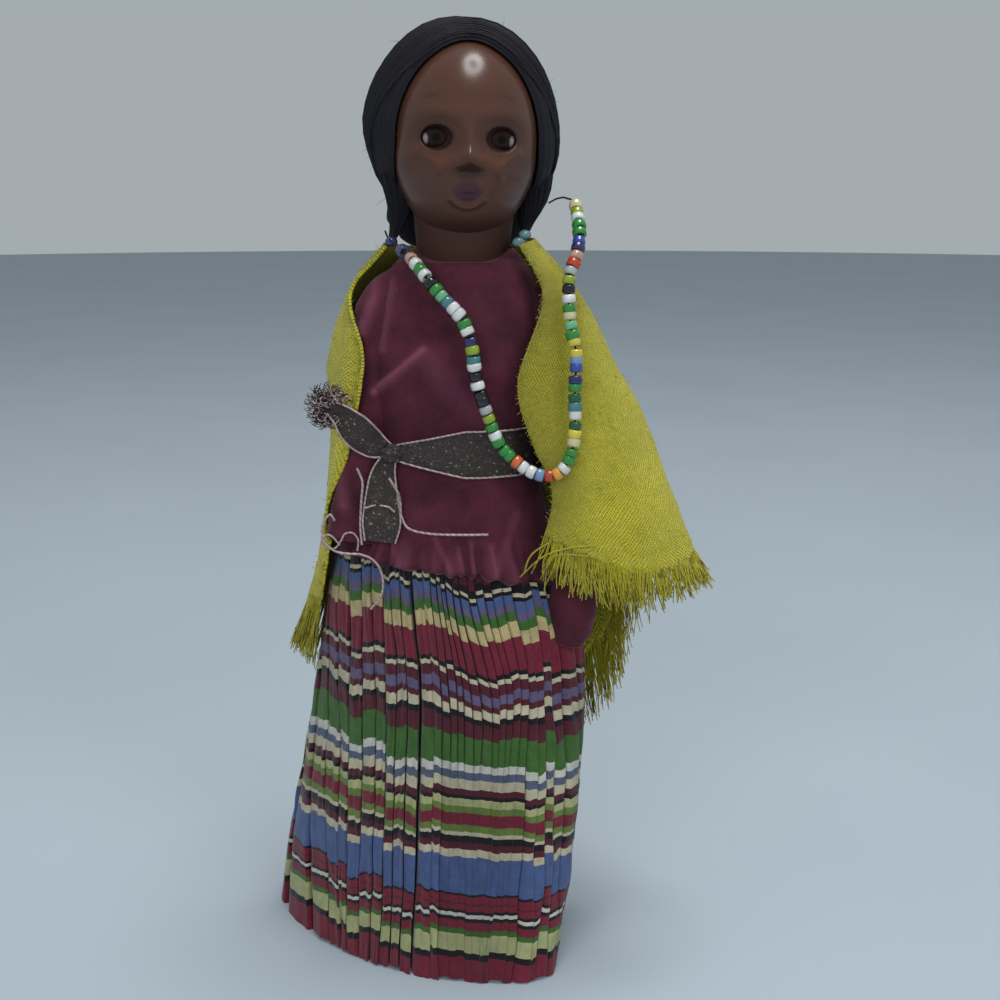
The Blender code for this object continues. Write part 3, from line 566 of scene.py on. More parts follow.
for vert in bm.verts:
    comb = 1 + 0.07 * noise.noise(Vector((vert.co.x * 9, 0, vert.co.z * 1.5)))
    vert[flow] = (vert.co.x * 30, vert.co.z * 10, 0)
    wide = math.copysign(abs(vert.co.x) ** 0.6, vert.co.x)
    vert.co = (wide * 15.0 * comb, vert.co.y * 4.2 * comb + 11.0, vert.co.z * 10.5 - 12.0)
bm.transform(HEAD)
from_bmesh("wig_nape", bm, mohair)

combed = []
for _ in range(520):
    side = random.choice((-1, 1))
    start, lift, girth = random.random() ** 1.3, random.uniform(0.02, 0.3), random.uniform(0.6, 1.2)
    reach = random.uniform(0.55, 1.0)
    line = []
    for k in range(16):
        t = k / 15
        turn = math.radians(90 - side * (122 * t - 2))
        share = start * 0.85 + (0.30 - start * 0.85) * smooth(0.2, 1.0, t) * 0.75
        point = hair_point(turn, max(0.01, share), lift)
        line.append((*(HEAD @ point), girth * (0.4 + 0.6 * min(1, 5 * t, 5 * (1.02 - t)))))
        if t > reach:
            break
    combed.append(line)
for side, lock in LOCKS.items():
    for _ in range(90):
        turn, near = random.uniform(0, math.tau), random.uniform(0.9, 1.08)
        line = []
        for k in range(9):
            t = k / 8
            x, y, z, radius = along(lock, t)
            turn += 0.1
            off = radius * near * 0.93
            spot_on = Vector((x + off * math.cos(turn), y + off * math.sin(turn), z))
            line.append((*(HEAD @ spot_on), 1 - 0.4 * t))
        combed.append(line)
from_lines("wig_strands", combed, 0.13, mohair)

flyaway = []
for _ in range(150):
    turn, share = random.uniform(0, math.tau), random.uniform(0.02, 0.9)
    spot_on = hair_point(turn, share, -0.2)
    outward = spot_on.normalized()
    drift = Vector([random.uniform(-1, 1) for _ in range(3)])
    length, line = random.uniform(1.5, 4.0), []
    for k in range(6):
        t = k / 5
        line.append((*(HEAD @ (spot_on + outward * length * (0.15 * t + 0.35 * t * t)
                               + drift * length * 0.7 * t + Vector((0, 0, -1.2 * t * t)))), 1 - 0.7 * t))
    flyaway.append(line)
from_lines("wig_flyaways", flyaway, 0.05, mohair)

# %% [markdown]
# ## The skirt's stripes
# The cloth is woven in bands of many widths. One measure decides each colour: how far up the cloth a
# point lies. Two ramps with hard steps hold the bands, the lower half and the upper half, because a
# ramp has only 32 stops. The measure is shaken a little first, since real yarns never line up.

# %% Striped cotton
RED, DARK_RED, BLACK = srgb(112, 32, 50), srgb(80, 28, 40), srgb(22, 19, 25)
CREAM, TAN, WHITE = srgb(184, 176, 150), srgb(180, 164, 118), srgb(192, 190, 180)
BLUE, GREY_BLUE, LILAC = srgb(72, 90, 134), srgb(82, 92, 114), srgb(94, 84, 114)
GREEN, LEAF, YELLOW = srgb(60, 98, 42), srgb(98, 120, 56), srgb(164, 166, 118)
# Bands from the hem up: where each begins in mm, and its colour
BANDS = [
    (0, RED), (4.5, BLACK), (6.0, YELLOW), (9.9, GREEN), (11.0, RED), (13.0, BLACK), (13.7, WHITE),
    (14.5, BLACK), (15.2, RED), (16.4, DARK_RED), (16.8, RED), (18.4, BLACK), (18.9, BLUE), (26.6, CREAM),
    (28.1, DARK_RED), (29.7, BLACK), (31.0, CREAM), (31.8, LEAF), (33.3, RED), (35.9, LEAF), (37.4, YELLOW),
    (38.9, BLACK), (39.7, DARK_RED), (41.1, CREAM), (43.2, GREY_BLUE), (44.9, WHITE), (46.5, GREEN),
    (52.6, DARK_RED), (56.1, BLACK), (57.5, CREAM), (59.5, DARK_RED), (60.9, LILAC), (63.0, DARK_RED),
    (65.2, CREAM), (66.2, BLACK), (67.2, RED), (73.7, TAN), (76.6, GREEN), (78.5, LILAC), (80.0, BLUE),
    (81.9, BLACK), (82.6, CREAM), (83.5, BLACK), (85.2, DARK_RED),
]
HALFWAY = 41.1
stripes = Finish("striped_cotton", "striped_cloth", Roughness=0.85, Sheen_Weight=0.15, Specular_IOR_Level=0.25)
around_cloth, up_cloth, painted_fold_shade = stripes.parts(stripes.place("cloth"))
yarn = stripes.join(around_cloth * 0.8, up_cloth * 6.0, 0.0)
shaken = up_cloth + (stripes.noise(yarn, 1.0, 3.0) - 0.5) * 0.35


def ramp_of(bands, low, high):
    """Hard bands of colour between two heights."""
    stops = [((max(place, low) - low) / (high - low), tint) for place, tint in bands]
    return stripes.node("ValToRGB", {"stops": stops, "steps": "CONSTANT"}, {0: (shaken - low) / (high - low)})


lower = ramp_of([b for b in BANDS if b[0] < HALFWAY], 0.0, HALFWAY)
upper = ramp_of([b for b in BANDS if b[0] >= HALFWAY], HALFWAY, 90.0)
woven = stripes.mix(shaken.above(HALFWAY, 0.001), lower, upper)
YARN = 0.34
weft = (up_cloth * (math.tau / YARN)).sin() * 0.5 + 0.5
warp = (around_cloth * (math.tau / YARN)).sin() * 0.5 + 0.5
worn = stripes.noise(stripes.place("cloth"), 0.35, 5.0, 0.65)
yarn_light = 0.84 + weft * 0.10 + warp * 0.08
# Painted shade: the third cloth value darkens the pleat valleys and one side of each pleat
fold_shade_factor = 1 - painted_fold_shade * 0.9
light = (yarn_light + (worn - 0.5) * 0.9) * fold_shade_factor * 0.86
stripes.feed(Base_Color=stripes.shade(woven, light), height=weft * 0.5 + warp * 0.5 + worn, depth=0.00008)
print(len(BANDS), "bands on the cloth")

# %% [markdown]
# ## The pleated skirt
# The cotton is crushed into narrow upright pleats, which stay flat and broad only in the middle of
# the front. A table gives the edges of the pleats that show, in degrees round the body. Every pleat
# overhangs the next a little, and that overlap makes the thin dark lines between them. Shade is also
# painted into the valleys and onto one side of each pleat, through the third value of the cloth attribute.

# %% Pleats and skirt
SKIRT_ROWS = [
    (0.0, -1.6, 1.6, 35.4, 16.8, -33.5), (25.0, 2.4, 1.6, 32.8, 18.0, -27.5), (50.0, 6.0, 1.8, 30.2, 17.8, -22.0),
    (68.0, 7.3, 2.0, 27.7, 16.8, -17.0), (80.0, 7.4, 2.2, 25.2, 15.8, -12.0), (89.0, 7.4, 2.3, 22.6, 14.8, -10.0),
]
PLEAT_EDGES = [160, 172, 184, 194, 203, 212, 222, 230, 238, 246, 254, 263, 270, 275.5, 280, 284, 288,
               292.5, 297, 301, 304, 307, 310, 313, 316, 319.5, 323, 327]
PLEAT_COLUMNS = 14
SEAM = 85.0
SKIRT_POWER = 1.85


def waist_height(point):
    """Height of the seam between blouse and skirt; it falls towards +X and to the back."""
    return SEAM - 0.12 * (point.x - 8.0) - 0.12 * (point.y + 12.0)


random.seed(5)
while PLEAT_EDGES[-1] < 510:
    PLEAT_EDGES.append(PLEAT_EDGES[-1] + random.uniform(5.5, 10.5))
PLEAT_EDGES[-1] = 520
columns = []
for number, (start, end) in enumerate(zip(PLEAT_EDGES, PLEAT_EDGES[1:])):
    broad = 270 <= start < 313
    over = 1.05 if broad else random.uniform(1.13, 1.34)
    shift, slope, rise = random.uniform(-1.3, 1.3), random.uniform(-1.2, 1.2), random.uniform(0, 0.9)
    for k in range(PLEAT_COLUMNS):
        t = k / PLEAT_COLUMNS
        if t < 0.8:
            place, out = over * (t / 0.8) ** 0.9, -1 + 1.75 * smooth(0, 0.22, t) + 0.25 * t
        else:
            place, out = over - (over - 1) * smooth(0.8, 1, t), 0.95 - 1.95 * smooth(0.8, 1.0, t)
        columns.append((start + (end - start) * place, out, shift + slope * (t - 0.5), rise, t, broad))
print(len(PLEAT_EDGES) - 1, "pleats,", len(columns), "columns")


def lean(angle, height):
    """How far the pleats lean round the body at a height: the body turns, and the waist pulls them."""
    left = smooth(313, 275, angle) * smooth(150, 190, angle)
    pulled = math.exp(-((angle - 298) / 16) ** 2)
    return 0.36 * (47 - height) * left - 9 * pulled * smooth(58, 84, height)


bm = open_column(len(columns), 64)
cloth = bm.verts.layers.float_vector.new("cloth")
for vert in bm.verts:
    place, out, shift, rise, t, broad = columns[round(around(vert) / math.tau * len(columns)) % len(columns)]
    up = vert.co.z + 0.5
    tied = 0.04 + 0.8 * smooth(42, 60, up * SEAM) if broad else 1.0
    out, shift = out * tied, shift * (0.6 * tied if broad else 1.0)
    sway = (2.6 * noise.noise(Vector((place * 0.06, up * 2.6, 6)))
            + 1.2 * noise.noise(Vector((place * 0.2, up * 6, 4))))
    shift += 1.5 * tied * noise.noise(Vector((rise * 90, up * 5, 2)))
    angle = math.radians(place + lean(place, up * SEAM) + sway)
    edge = section_point(SKIRT_ROWS, angle, up * SEAM, SKIRT_POWER)
    height = up * waist_height(edge)
    wave = 0.5 * noise.noise(Vector((place * 0.09, height * 0.045, 3)))
    crinkle = 0.45 * noise.noise(Vector((place * 0.33, height * 0.13, 9))) * (0.35 if broad else 1.0)
    sunk = 0.1 + 0.6 * tied if broad else 0.7
    depth = (1.4 * out - sunk - 0.9 * smooth(-0.3, -1.0, out)) * (1.0 - 0.3 * up) + wave + crinkle
    droop = 2.8 * smooth(35, 75, height) * math.exp(-((place - 299) / 12) ** 2)
    point = section_point(SKIRT_ROWS, angle, height, SKIRT_POWER, depth)
    point.z = max(0.0, height + rise * (1 - up) ** 6)
    vert.co = point
    # The third value is painted shade for the pleat valleys and one side of each pleat
    vert[cloth] = (place * 0.62, up * SEAM + shift + droop + wave * 0.6 + crinkle,
                   smooth(0.35, -0.7, out) + 0.2 * smooth(0.25, 0.0, t) * tied)
skirt = from_bmesh("pleated_skirt_cloth", bm, stripes, ["pleated_skirt"])

bm = bmesh.new()
bmesh.ops.create_cone(bm, cap_ends=True, segments=90, radius1=1, radius2=1, depth=1)
for vert in bm.verts:
    vert.co = section_point(SKIRT_ROWS, around(vert), 0.6 + 7.0 * (vert.co.z + 0.5), SKIRT_POWER, -3.6)
from_bmesh("skirt_underside", bm, stripes)

# %% [markdown]
# ## The maroon blouse
# The blouse is soft cloth with a nap, which is dark where it faces the eye and paler where it turns
# away. Sheen gives that. A painted highlight also makes it paler along the ridges of its folds, so
# the mesh carries the height of the folds as an attribute. The trunk is one closed tube from the waist
# seam to the neckline, gathered at the seam, and each sleeve is a tube of its own that follows the arm.

# %% Maroon cloth
nap = Finish("maroon_napped_cloth", "maroon_cloth", Roughness=0.9, Sheen_Weight=0.35, Sheen_Roughness=0.35,
             Sheen_Tint=(0.8, 0.45, 0.55, 1), Specular_IOR_Level=0.2)
spread = nap.noise(nap.place(), 150.0, 5.0, 0.6)
fibres = nap.noise(nap.place(), 2400.0, 2.0)
nap_and_ridge_sheen = nap.mix(spread.above(0.5, 0.5), srgb(50, 23, 31), srgb(84, 37, 50))
# Painted highlight: paler colour along the ridges of the folds and the gathers
painted_ridge_sheen = nap.parts(nap.place("cloth"))[0]
nap_and_ridge_sheen = nap.mix((painted_ridge_sheen * 0.4).clamp(), nap_and_ridge_sheen, srgb(150, 84, 106))
nap.feed(Base_Color=nap.shade(nap_and_ridge_sheen, 0.82 + fibres * 0.36), height=fibres + spread, depth=0.00012)

# %% Trunk and sleeves of the blouse
TORSO_ROWS = [
    (80.0, 8.3, 2.2, 23.0, 16.6, -10.0), (88.0, 8.2, 2.3, 22.0, 16.2, -9.0), (94.0, 8.1, 2.5, 20.0, 15.6, -8.0),
    (104.0, 8.1, 2.7, 17.6, 14.2, -6.0), (112.0, 8.2, 2.8, 17.2, 14.0, -5.0), (125.0, 8.7, 3.1, 17.6, 14.4, -4.0),
    (134.0, 9.1, 3.3, 17.4, 13.4, -3.0), (140.0, 9.5, 3.5, 15.6, 12.0, -2.0), (144.0, 9.8, 3.6, 13.2, 10.6, -1.0),
    (147.0, 10.0, 3.7, 10.6, 9.6, 0.0),
]
TORSO_POWER = 2.3
NECKLINE = 147.0
# Folds on the front: the two ends as x and z, the width and how far it stands out
FOLDS = [
    ((3.3, 128.7), (-7.3, 118.9), 0.7, 1.1), ((4.0, 127.0), (14.0, 115.0), 2.4, 0.3),
    ((-2.0, 141.0), (-5.0, 128.0), 0.8, 0.5), ((21.0, 96.0), (17.0, 86.0), 0.9, 0.3),
    ((5.0, 92.0), (8.0, 86.0), 0.6, 0.4), ((-5.0, 94.0), (-1.0, 86.5), 0.8, 0.3),
    ((12.0, 91.0), (12.5, 85.5), 0.6, 0.5), ((-4.9, 142.0), (-9.2, 130.0), 0.9, 0.8),
    ((16.0, 90.5), (16.5, 84.5), 0.5, 0.5), ((9.6, 90.0), (10.5, 85.5), 0.5, 0.5),
    ((-14.0, 104.0), (-13.4, 97.0), 1.3, 0.8),
]


bm = open_column(260, 120)
cloth = bm.verts.layers.float_vector.new("cloth")
for vert in bm.verts:
    angle, up = around(vert), vert.co.z + 0.5
    low = waist_height(section_point(TORSO_ROWS, angle, SEAM, TORSO_POWER)) - 0.9
    point = section_point(TORSO_ROWS, angle, low + up * (NECKLINE - low), TORSO_POWER)
    low += 1.3 * noise.noise(Vector((angle * 11, 0, 8))) * smooth(-0.3, -0.9, math.sin(angle))
    height = low + up * (NECKLINE - 2.4 * smooth(0.2, -0.9, math.sin(angle)) - low)
    gather = noise.noise(Vector((angle * 13, height * 0.03, 1))) * 1.9 * smooth(0.18, 0.0, up)
    slack = 0.5 * noise.noise(Vector((point.x * 0.11, point.y * 0.11, height * 0.07)))
    crease = 0.12 * noise.noise(Vector((point.x * 0.5, point.y * 0.5, height * 0.3)))
    fold = ridges(FOLDS, point.x, height) if point.y < 0 else 0.0
    lift = gather + slack + crease + fold
    # The first value drives the painted highlight along the fold ridges and gathers
    vert[cloth] = (fold + 0.3 * gather, 0, 0)
    lift += 0.9 * smooth(0.10, 0.02, up) - 2.2 * smooth(0.016, 0.0, up)
    vert.co = section_point(TORSO_ROWS, angle, height, TORSO_POWER, lift * smooth(1.0, 0.97, up))
edges = [e for e in bm.edges if e.is_boundary and e.verts[0].co.z > 120]
collar = bmesh.ops.extrude_edge_only(bm, edges=edges)["geom"]
for vert in (g for g in collar if isinstance(g, bmesh.types.BMVert)):
    flat = Vector((vert.co.x - 10.3, vert.co.y - 5.6, 0))
    vert.co = Vector((10.3, 5.6, vert.co.z + 0.3)) + flat.normalized() * 8.2
from_bmesh("blouse_trunk", bm, nap, ["blouse"])

LEFT_SLEEVE = [
    (0.5, 1.5, 138.0, 6.4), (-4.2, 0.6, 134.5, 6.7), (-6.9, -0.5, 125.0, 5.4), (-8.4, -2.6, 112.0, 5.1),
    (-10.0, -4.4, 101.0, 5.2), (-11.6, -5.4, 90.2, 5.7),
]
RIGHT_SLEEVE = [
    (19.0, 3.0, 136.5, 5.6), (24.6, 2.0, 133.0, 5.8), (29.4, 0.6, 123.0, 5.3), (32.8, -1.8, 108.0, 5.0),
    (34.0, -5.0, 90.0, 5.2), (32.4, -8.0, 77.0, 5.2), (30.8, -9.0, 69.0, 3.5),
]


def make_sleeve(name, rows, seed):
    """A slack tube along the arm, with creases across it and its open end turned in."""
    bm = open_column(72, 110)
    cloth = bm.verts.layers.float_vector.new("cloth")
    for vert in bm.verts:
        turn, down = around(vert), min(1.0, (0.5 - vert.co.z) / 0.97)
        inside = smooth(0.97, 1.0, 0.5 - vert.co.z)
        x, y, z, radius = along(rows, down)
        ahead = Vector(along(rows, min(1.0, down + 0.02))[:3])
        behind = Vector(along(rows, max(0.0, down - 0.02))[:3])
        run = (ahead - behind).normalized()
        across = run.cross(Vector((0, 1, 0))).normalized()
        forth = across.cross(run)
        spread = Vector((math.cos(turn) * 0.6, math.sin(turn) * 0.6, down * 6 + seed))
        slack = 0.5 * noise.noise(spread) + 0.35 * noise.noise(Vector((turn * 0.5, down * 17 + turn * 0.4, seed)))
        facing = -(across * math.cos(turn) + forth * math.sin(turn)).y
        fold = ridges(FOLDS, x + across.x * radius * math.cos(turn), z) * max(0.0, facing)
        radius = (radius + slack + fold) * (1 - 0.35 * inside)
        # The first value drives the painted highlight along the fold ridges
        vert[cloth] = (fold, 0, 0)
        vert.co = (Vector((x, y, z)) + (across * math.cos(turn) + forth * math.sin(turn)) * radius
                   - run * 2.0 * inside)
    bmesh.ops.recalc_face_normals(bm, faces=bm.faces)
    return from_bmesh(name, bm, nap)


make_sleeve("left_sleeve", LEFT_SLEEVE, 2.0)
make_sleeve("right_sleeve", RIGHT_SLEEVE, 7.0)

# %% [markdown]
# ## Ribbon and gilt wire
# The belt is silver gauze ribbon, gone dull, with a gilt wire woven into each edge. Flecks of bright
# foil show between dark threads. The flecks come from a cell pattern whose cells are mostly dark and
# sometimes bright metal. On the right, where the shawl covers it, shade is painted into the ribbon.

# %% Silver gauze and gilt
gauze = Finish("silver_gauze", "silver_ribbon")
cells = gauze.node("TexVoronoi", {}, {"Vector": gauze.place(), "Scale": 2700.0}, "Color")
chance = gauze.parts(cells)[0]
fleck = chance.above(0.97, 0.04)
mesh_lines = gauze.node("TexVoronoi", {"feature": "DISTANCE_TO_EDGE"}, {"Vector": gauze.place(), "Scale": 1500.0})
thread = 1 - mesh_lines.above(0.10, 0.08)
gauze_tint = gauze.mix(thread * 0.5, srgb(50, 42, 41), srgb(86, 76, 70))
# Painted shade on the ribbon's right part, where the shawl covers it
shadow = gauze.parts(gauze.place())[0].above(0.020, 0.004)
gauze_tint = gauze.mix(shadow * 0.8, gauze_tint, srgb(38, 18, 25))
gauze.feed(Base_Color=gauze.mix(fleck, gauze_tint, srgb(150, 144, 134)), Roughness=0.7 - fleck * 0.3,
           Metallic=0.1 + fleck * 0.6, height=chance + thread, depth=0.0002)

gilt = Finish("gilt_edge_wire", "gilt_wire", Roughness=0.45, Metallic=0.5)
twist = (gilt.parts(gilt.place())[0] * 5200 + gilt.parts(gilt.place())[2] * 5200).sin() * 0.5 + 0.5
tarnish = gilt.noise(gilt.place(), 500.0)
gilt_tint = gilt.mix(tarnish, srgb(146, 124, 122), srgb(206, 182, 180))
gilt.feed(Base_Color=gilt.shade(gilt_tint, 0.75 + twist * 0.4), height=twist, depth=0.00008)

# %% [markdown]
# ## The belt, its knot and its tails
# The band goes round the waist and narrows into the knot. Both tails lie on the front of the blouse,
# so the depth of a point comes from the blouse: the section's foremost y at that x and height, or the
# sleeve's where the sleeve stands further forward.

# %% Ribbon strips on the blouse
BELT = 107.6
SLEEVE_FRONT = -8.6
KNOT = (-3.4, 108.2)
TAIL_UP = [(-3.8, 108.8, 1.2), (-7.2, 110.3, 2.8), (-10.4, 113.4, 3.1), (-12.6, 115.8, 2.2), (-14.8, 117.6, 1.4)]
TAIL_DOWN = [(-3.8, 108.0, 1.2), (-5.2, 104.0, 2.4), (-5.5, 99.4, 3.2), (-5.5, 95.0, 3.7), (-5.9, 91.0, 3.0)]
arm = route(LEFT_SLEEVE, 40)


def front_y(x, z):
    """The foremost y of the blouse at x, z."""
    left, right = math.pi, math.tau
    for _ in range(20):
        middle = (left + right) / 2
        if section_point(TORSO_ROWS, middle, z, TORSO_POWER).x < x:
            left = middle
        else:
            right = middle
    foremost = section_point(TORSO_ROWS, left, z, TORSO_POWER).y
    for sx, sy, sz, radius in arm:
        if abs(sz - z) < 1.5 and abs(x - sx) < radius:
            foremost = min(foremost, sy - math.sqrt(radius ** 2 - (x - sx) ** 2))
    return foremost


def tail_point(rows, share, side, lift=1.0):
    """Point of a tail: share runs from the knot, side goes from -1 to 1 across the ribbon."""
    x, z, half = along(rows, share)
    ahead, behind = along(rows, min(1.0, share + 0.02)), along(rows, max(0.0, share - 0.02))
    run = Vector((ahead[0] - behind[0], ahead[1] - behind[1])).normalized()
    lie = min(*(front_y(x + dx, z) for dx in (-half, 0.0, half)), SLEEVE_FRONT)
    crumple = 0.4 * noise.noise(Vector((share * 7, side * 1.5, z * 0.1))) + 1.6 * smooth(-6, -10, x)
    return Vector((x - run.y * side * half, lie - lift - crumple, z + run.x * side * half))


def band_point(share, side, lift=1.05):
    """Point of the band round the waist: share runs round it, side from -1 below to 1 above."""
    half = (1.0 + 3.5 * min(1.0, share / 0.2)) * smooth(-0.03, 0.05, share)
    height = BELT + 0.9 + half * side
    angle = math.radians(220 + 300 * share)
    crumple = 0.25 * noise.noise(Vector((share * 40, side * 2, 5)))
    return section_point(TORSO_ROWS, angle, height, TORSO_POWER, lift + crumple + 0.25 * math.cos(side * 2))


bm = bmesh.new()
bmesh.ops.create_grid(bm, x_segments=260, y_segments=10, size=0.5)
for vert in bm.verts:
    vert.co = band_point(vert.co.x + 0.5, vert.co.y * 2)
bmesh.ops.recalc_face_normals(bm, faces=bm.faces)
band = from_bmesh("ribbon_band", bm, gauze, ["ribbon_belt"])
for name, rows in (("ribbon_tail_up", TAIL_UP), ("ribbon_tail_down", TAIL_DOWN)):
    bm = bmesh.new()
    bmesh.ops.create_grid(bm, x_segments=60, y_segments=12, size=0.5)
    for vert in bm.verts:
        vert.co = tail_point(rows, vert.co.x + 0.5, vert.co.y * 2)
    from_bmesh(name, bm, gauze)

knot_depth = front_y(*KNOT)
bm = bmesh.new()
bmesh.ops.create_uvsphere(bm, u_segments=64, v_segments=40, radius=1)
for vert in bm.verts:
    wrap = 1 + 0.12 * math.sin(9 * vert.co.z + 3 * vert.co.x) + 0.1 * noise.noise(vert.co * 4)
    vert.co = (KNOT[0] + 2.2 * vert.co.x * wrap, knot_depth - 1.9 + 1.4 * vert.co.y * wrap,
               KNOT[1] + 1.9 * vert.co.z * wrap)
from_bmesh("ribbon_knot", bm, gauze)

# %% [markdown]
# ## Edge wires and the frayed tuft
# Every edge of the ribbon has its wire. The upper tail has come apart at its end: the gauze has
# frayed into a bush of stiff crinkled threads, so each thread is a short random walk.

# %% Wires along the ribbon, and the tuft
edges = [[tail_point(rows, k / 30, side, 1.25) for k in range(31)]
         for rows in (TAIL_UP, TAIL_DOWN) for side in (-1, 1)]
edges += [[band_point(0.01 + k / 120, side, 1.35) for k in range(120)] for side in (-1, 1)]
# A wire that crosses the lower tail, as x and z
CROSSING = ((-9, 97.8), (-6.5, 98.2), (-4, 97.9), (-2.9, 97))
edges.append([Vector((x, front_y(x, 97.9) - 2.3, z)) for x, z in CROSSING])
from_lines("ribbon_edge_wires", edges, 0.22, gilt, roundness=1)

random.seed(23)
tuft = []
for _ in range(150):
    point = Vector((-15.0, -10.2, 117.6))
    aim = Vector((random.uniform(-1, 0.5), random.uniform(-0.4, 0.3), random.uniform(-0.9, 0.9))).normalized()
    side = aim.cross(Vector((0, 1, 0))).normalized()
    spin, phase, line = random.uniform(0.6, 1.5), random.uniform(0, 6), []
    for k in range(17):
        line.append((*point, 1 - 0.03 * k))
        curl = side * math.cos(phase + k * spin) + aim * 0.8 * math.sin(phase + k * spin)
        point = point + aim * 0.3 + curl * 0.5 + Vector((0, 0.2 * math.sin(k * 1.3 + phase), 0))
        off = Vector(((point.x + 17.2) / 6.0, (point.y + 10.4) / 2.2, (point.z - 117.8) / 4.5))
        if off.length > 1:
            aim = (aim - off * 0.8).normalized()
    tuft.append(line)
from_lines("ribbon_tuft_gilt", tuft[::4], 0.17, gilt)
from_lines("ribbon_frayed_tuft", tuft, 0.14, gauze)

# %% [markdown]
# ## Loose gilt wires
# Three ends of wire have come out of the ribbon and lie on the blouse and the skirt. One runs down
# and off to the side, one hangs straight, and one makes a wide loop with a small curl beside it.

# %% The loose wires
AHEAD = front_y(-10.5, 91.6)


def lay_wire(rows, count):
    """Points of a wire that lies on the front, stepping over the belt."""
    line = []
    for x, z in route(rows, count):
        over_belt = smooth(99, 102, z) if x > -6 else 0.0
        lie = min(front_y(x, max(z, 85)), AHEAD) - 1.0 - 0.6 * smooth(0, 8, x) - over_belt * 1.85
        line.append((x, lie, z))
    return line


WIRES = {
    "gilt_wire_front": [(-3.8, 104.2), (-2.2, 101.6), (-1.8, 99.2), (-1.6, 96.2), (-0.2, 93.9), (3.4, 93.2),
                        (9.6, 93.2), (15.4, 93.2)],
    "gilt_wire_left": [(-10.1, 105.8), (-9.1, 103.0), (-9.4, 99.2), (-9.7, 94.4), (-9.5, 90.4)],
    "gilt_wire_loop": [(-14.7, 95.3), (-15.7, 96.5), (-17.1, 94.3), (-17.0, 91.3), (-14.9, 89.2), (-12.4, 88.6),
                       (-9.6, 88.4), (-7.0, 87.0), (-5.6, 84.1), (-5.8, 80.2), (-8.0, 77.2)],
}
for name, rows in WIRES.items():
    from_lines(name + "_fine", [lay_wire(rows, 60)], 0.25, gilt, [name], roundness=2)
curl = [(-13.8, 90.4), (-15.7, 92.4), (-17.3, 91.8), (-17.0, 90.2), (-15.0, 89.6), (-13.6, 91.2), (-12.8, 92.6),
        (-11.2, 92.8), (-10.2, 91.4), (-10.4, 89.2)]
from_lines("gilt_wire_curl", [lay_wire(curl, 50)], 0.2, gilt, roundness=2)

# %% [markdown]
# ## The necklace
# A single strand of glass seed beads hangs down the front and climbs to the hair on the other side.
# It is one black thread and 66 beads. A seed bead is a short ring with round shoulders, so a small
# profile is spun about the thread.

# %% The thread
NECKLACE_ROUTE = [
    (-2.4, -3.4, 147.9), (0.5, -7.7, 146.0), (3.1, -10.7, 143.2), (6.6, -13.2, 139.2), (10.4, -14.4, 135.1),
    (12.3, -14.8, 130.0), (13.2, -14.8, 123.4), (15.2, -14.8, 117.1), (17.4, -14.8, 111.4),
    (20.0, -15.0, 108.4), (23.3, -15.6, 106.0), (26.7, -16.2, 105.1), (29.4, -16.4, 106.1),
    (31.3, -16.2, 109.4), (32.0, -15.6, 114.9), (31.9, -15.0, 120.6), (32.1, -14.0, 128.3),
    (31.1, -12.9, 133.4), (30.7, -12.2, 138.3), (30.9, -11.2, 142.9), (32.3, -9.2, 146.7),
    (32.9, -5.8, 151.0), (32.3, -1.5, 156.0),
]
THREAD_START = [(-5.0, 3.0, 150.5), (-4.3, 0.2, 149.4)]
THREAD_END = [(31.5, -0.5, 156.7), (30.0, 0.5, 157.1), (28.7, 1.5, 156.8), (27.3, 2.5, 156.0)]
silk = Finish("black_thread", "seed_beads", Roughness=0.7)
silk.feed(Base_Color=silk.mix(silk.noise(silk.place(), 3000.0), srgb(12, 12, 14), srgb(38, 36, 40)),
          height=silk.noise(silk.place(), 6000.0), depth=0.00005)
strung = [Vector(p) for p in route(NECKLACE_ROUTE, 240)]
thread_line = THREAD_START + [tuple(p) for p in strung] + THREAD_END
thread = bpy.data.objects.new("necklace_thread", thread_curve("necklace_thread", [thread_line], 0.2, 1))
bpy.context.scene.collection.objects.link(thread)
thread.data.materials.append(silk.material)
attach(thread, "root")

# %% Glass beads in their order
GLASS = {
    "slate": (72, 78, 110), "tan": (196, 150, 128), "white": (226, 228, 224), "green": (48, 138, 56),
    "black": (16, 15, 20), "lightgreen": (112, 186, 138), "teal": (70, 130, 136), "navy": (38, 44, 96),
    "lime": (150, 170, 48), "darkgreen": (30, 88, 50), "orange": (214, 104, 50), "red": (190, 62, 34),
    "amber": (232, 160, 60), "cream": (214, 208, 156), "yellow": (220, 206, 74), "blue": (54, 74, 168),
    "sky": (120, 150, 190), "grey": (168, 174, 172),
}
ORDER = """slate tan white green white black green lightgreen teal white white green white navy lime teal white
black white black black grey lime green white green green green orange white white sky red amber white green
green gap gap cream yellow darkgreen white teal darkgreen green navy blue sky yellow yellow green lightgreen
cream green white black lime grey red tan navy blue green green white lime cream""".split()
FIRST_GAP = ORDER.index("gap")
bead_shapes = {name: bmesh.new() for name in GLASS}
lengths = [0.0]
for a, b in zip(strung, strung[1:]):
    lengths.append(lengths[-1] + (b - a).length)
random.seed(3)
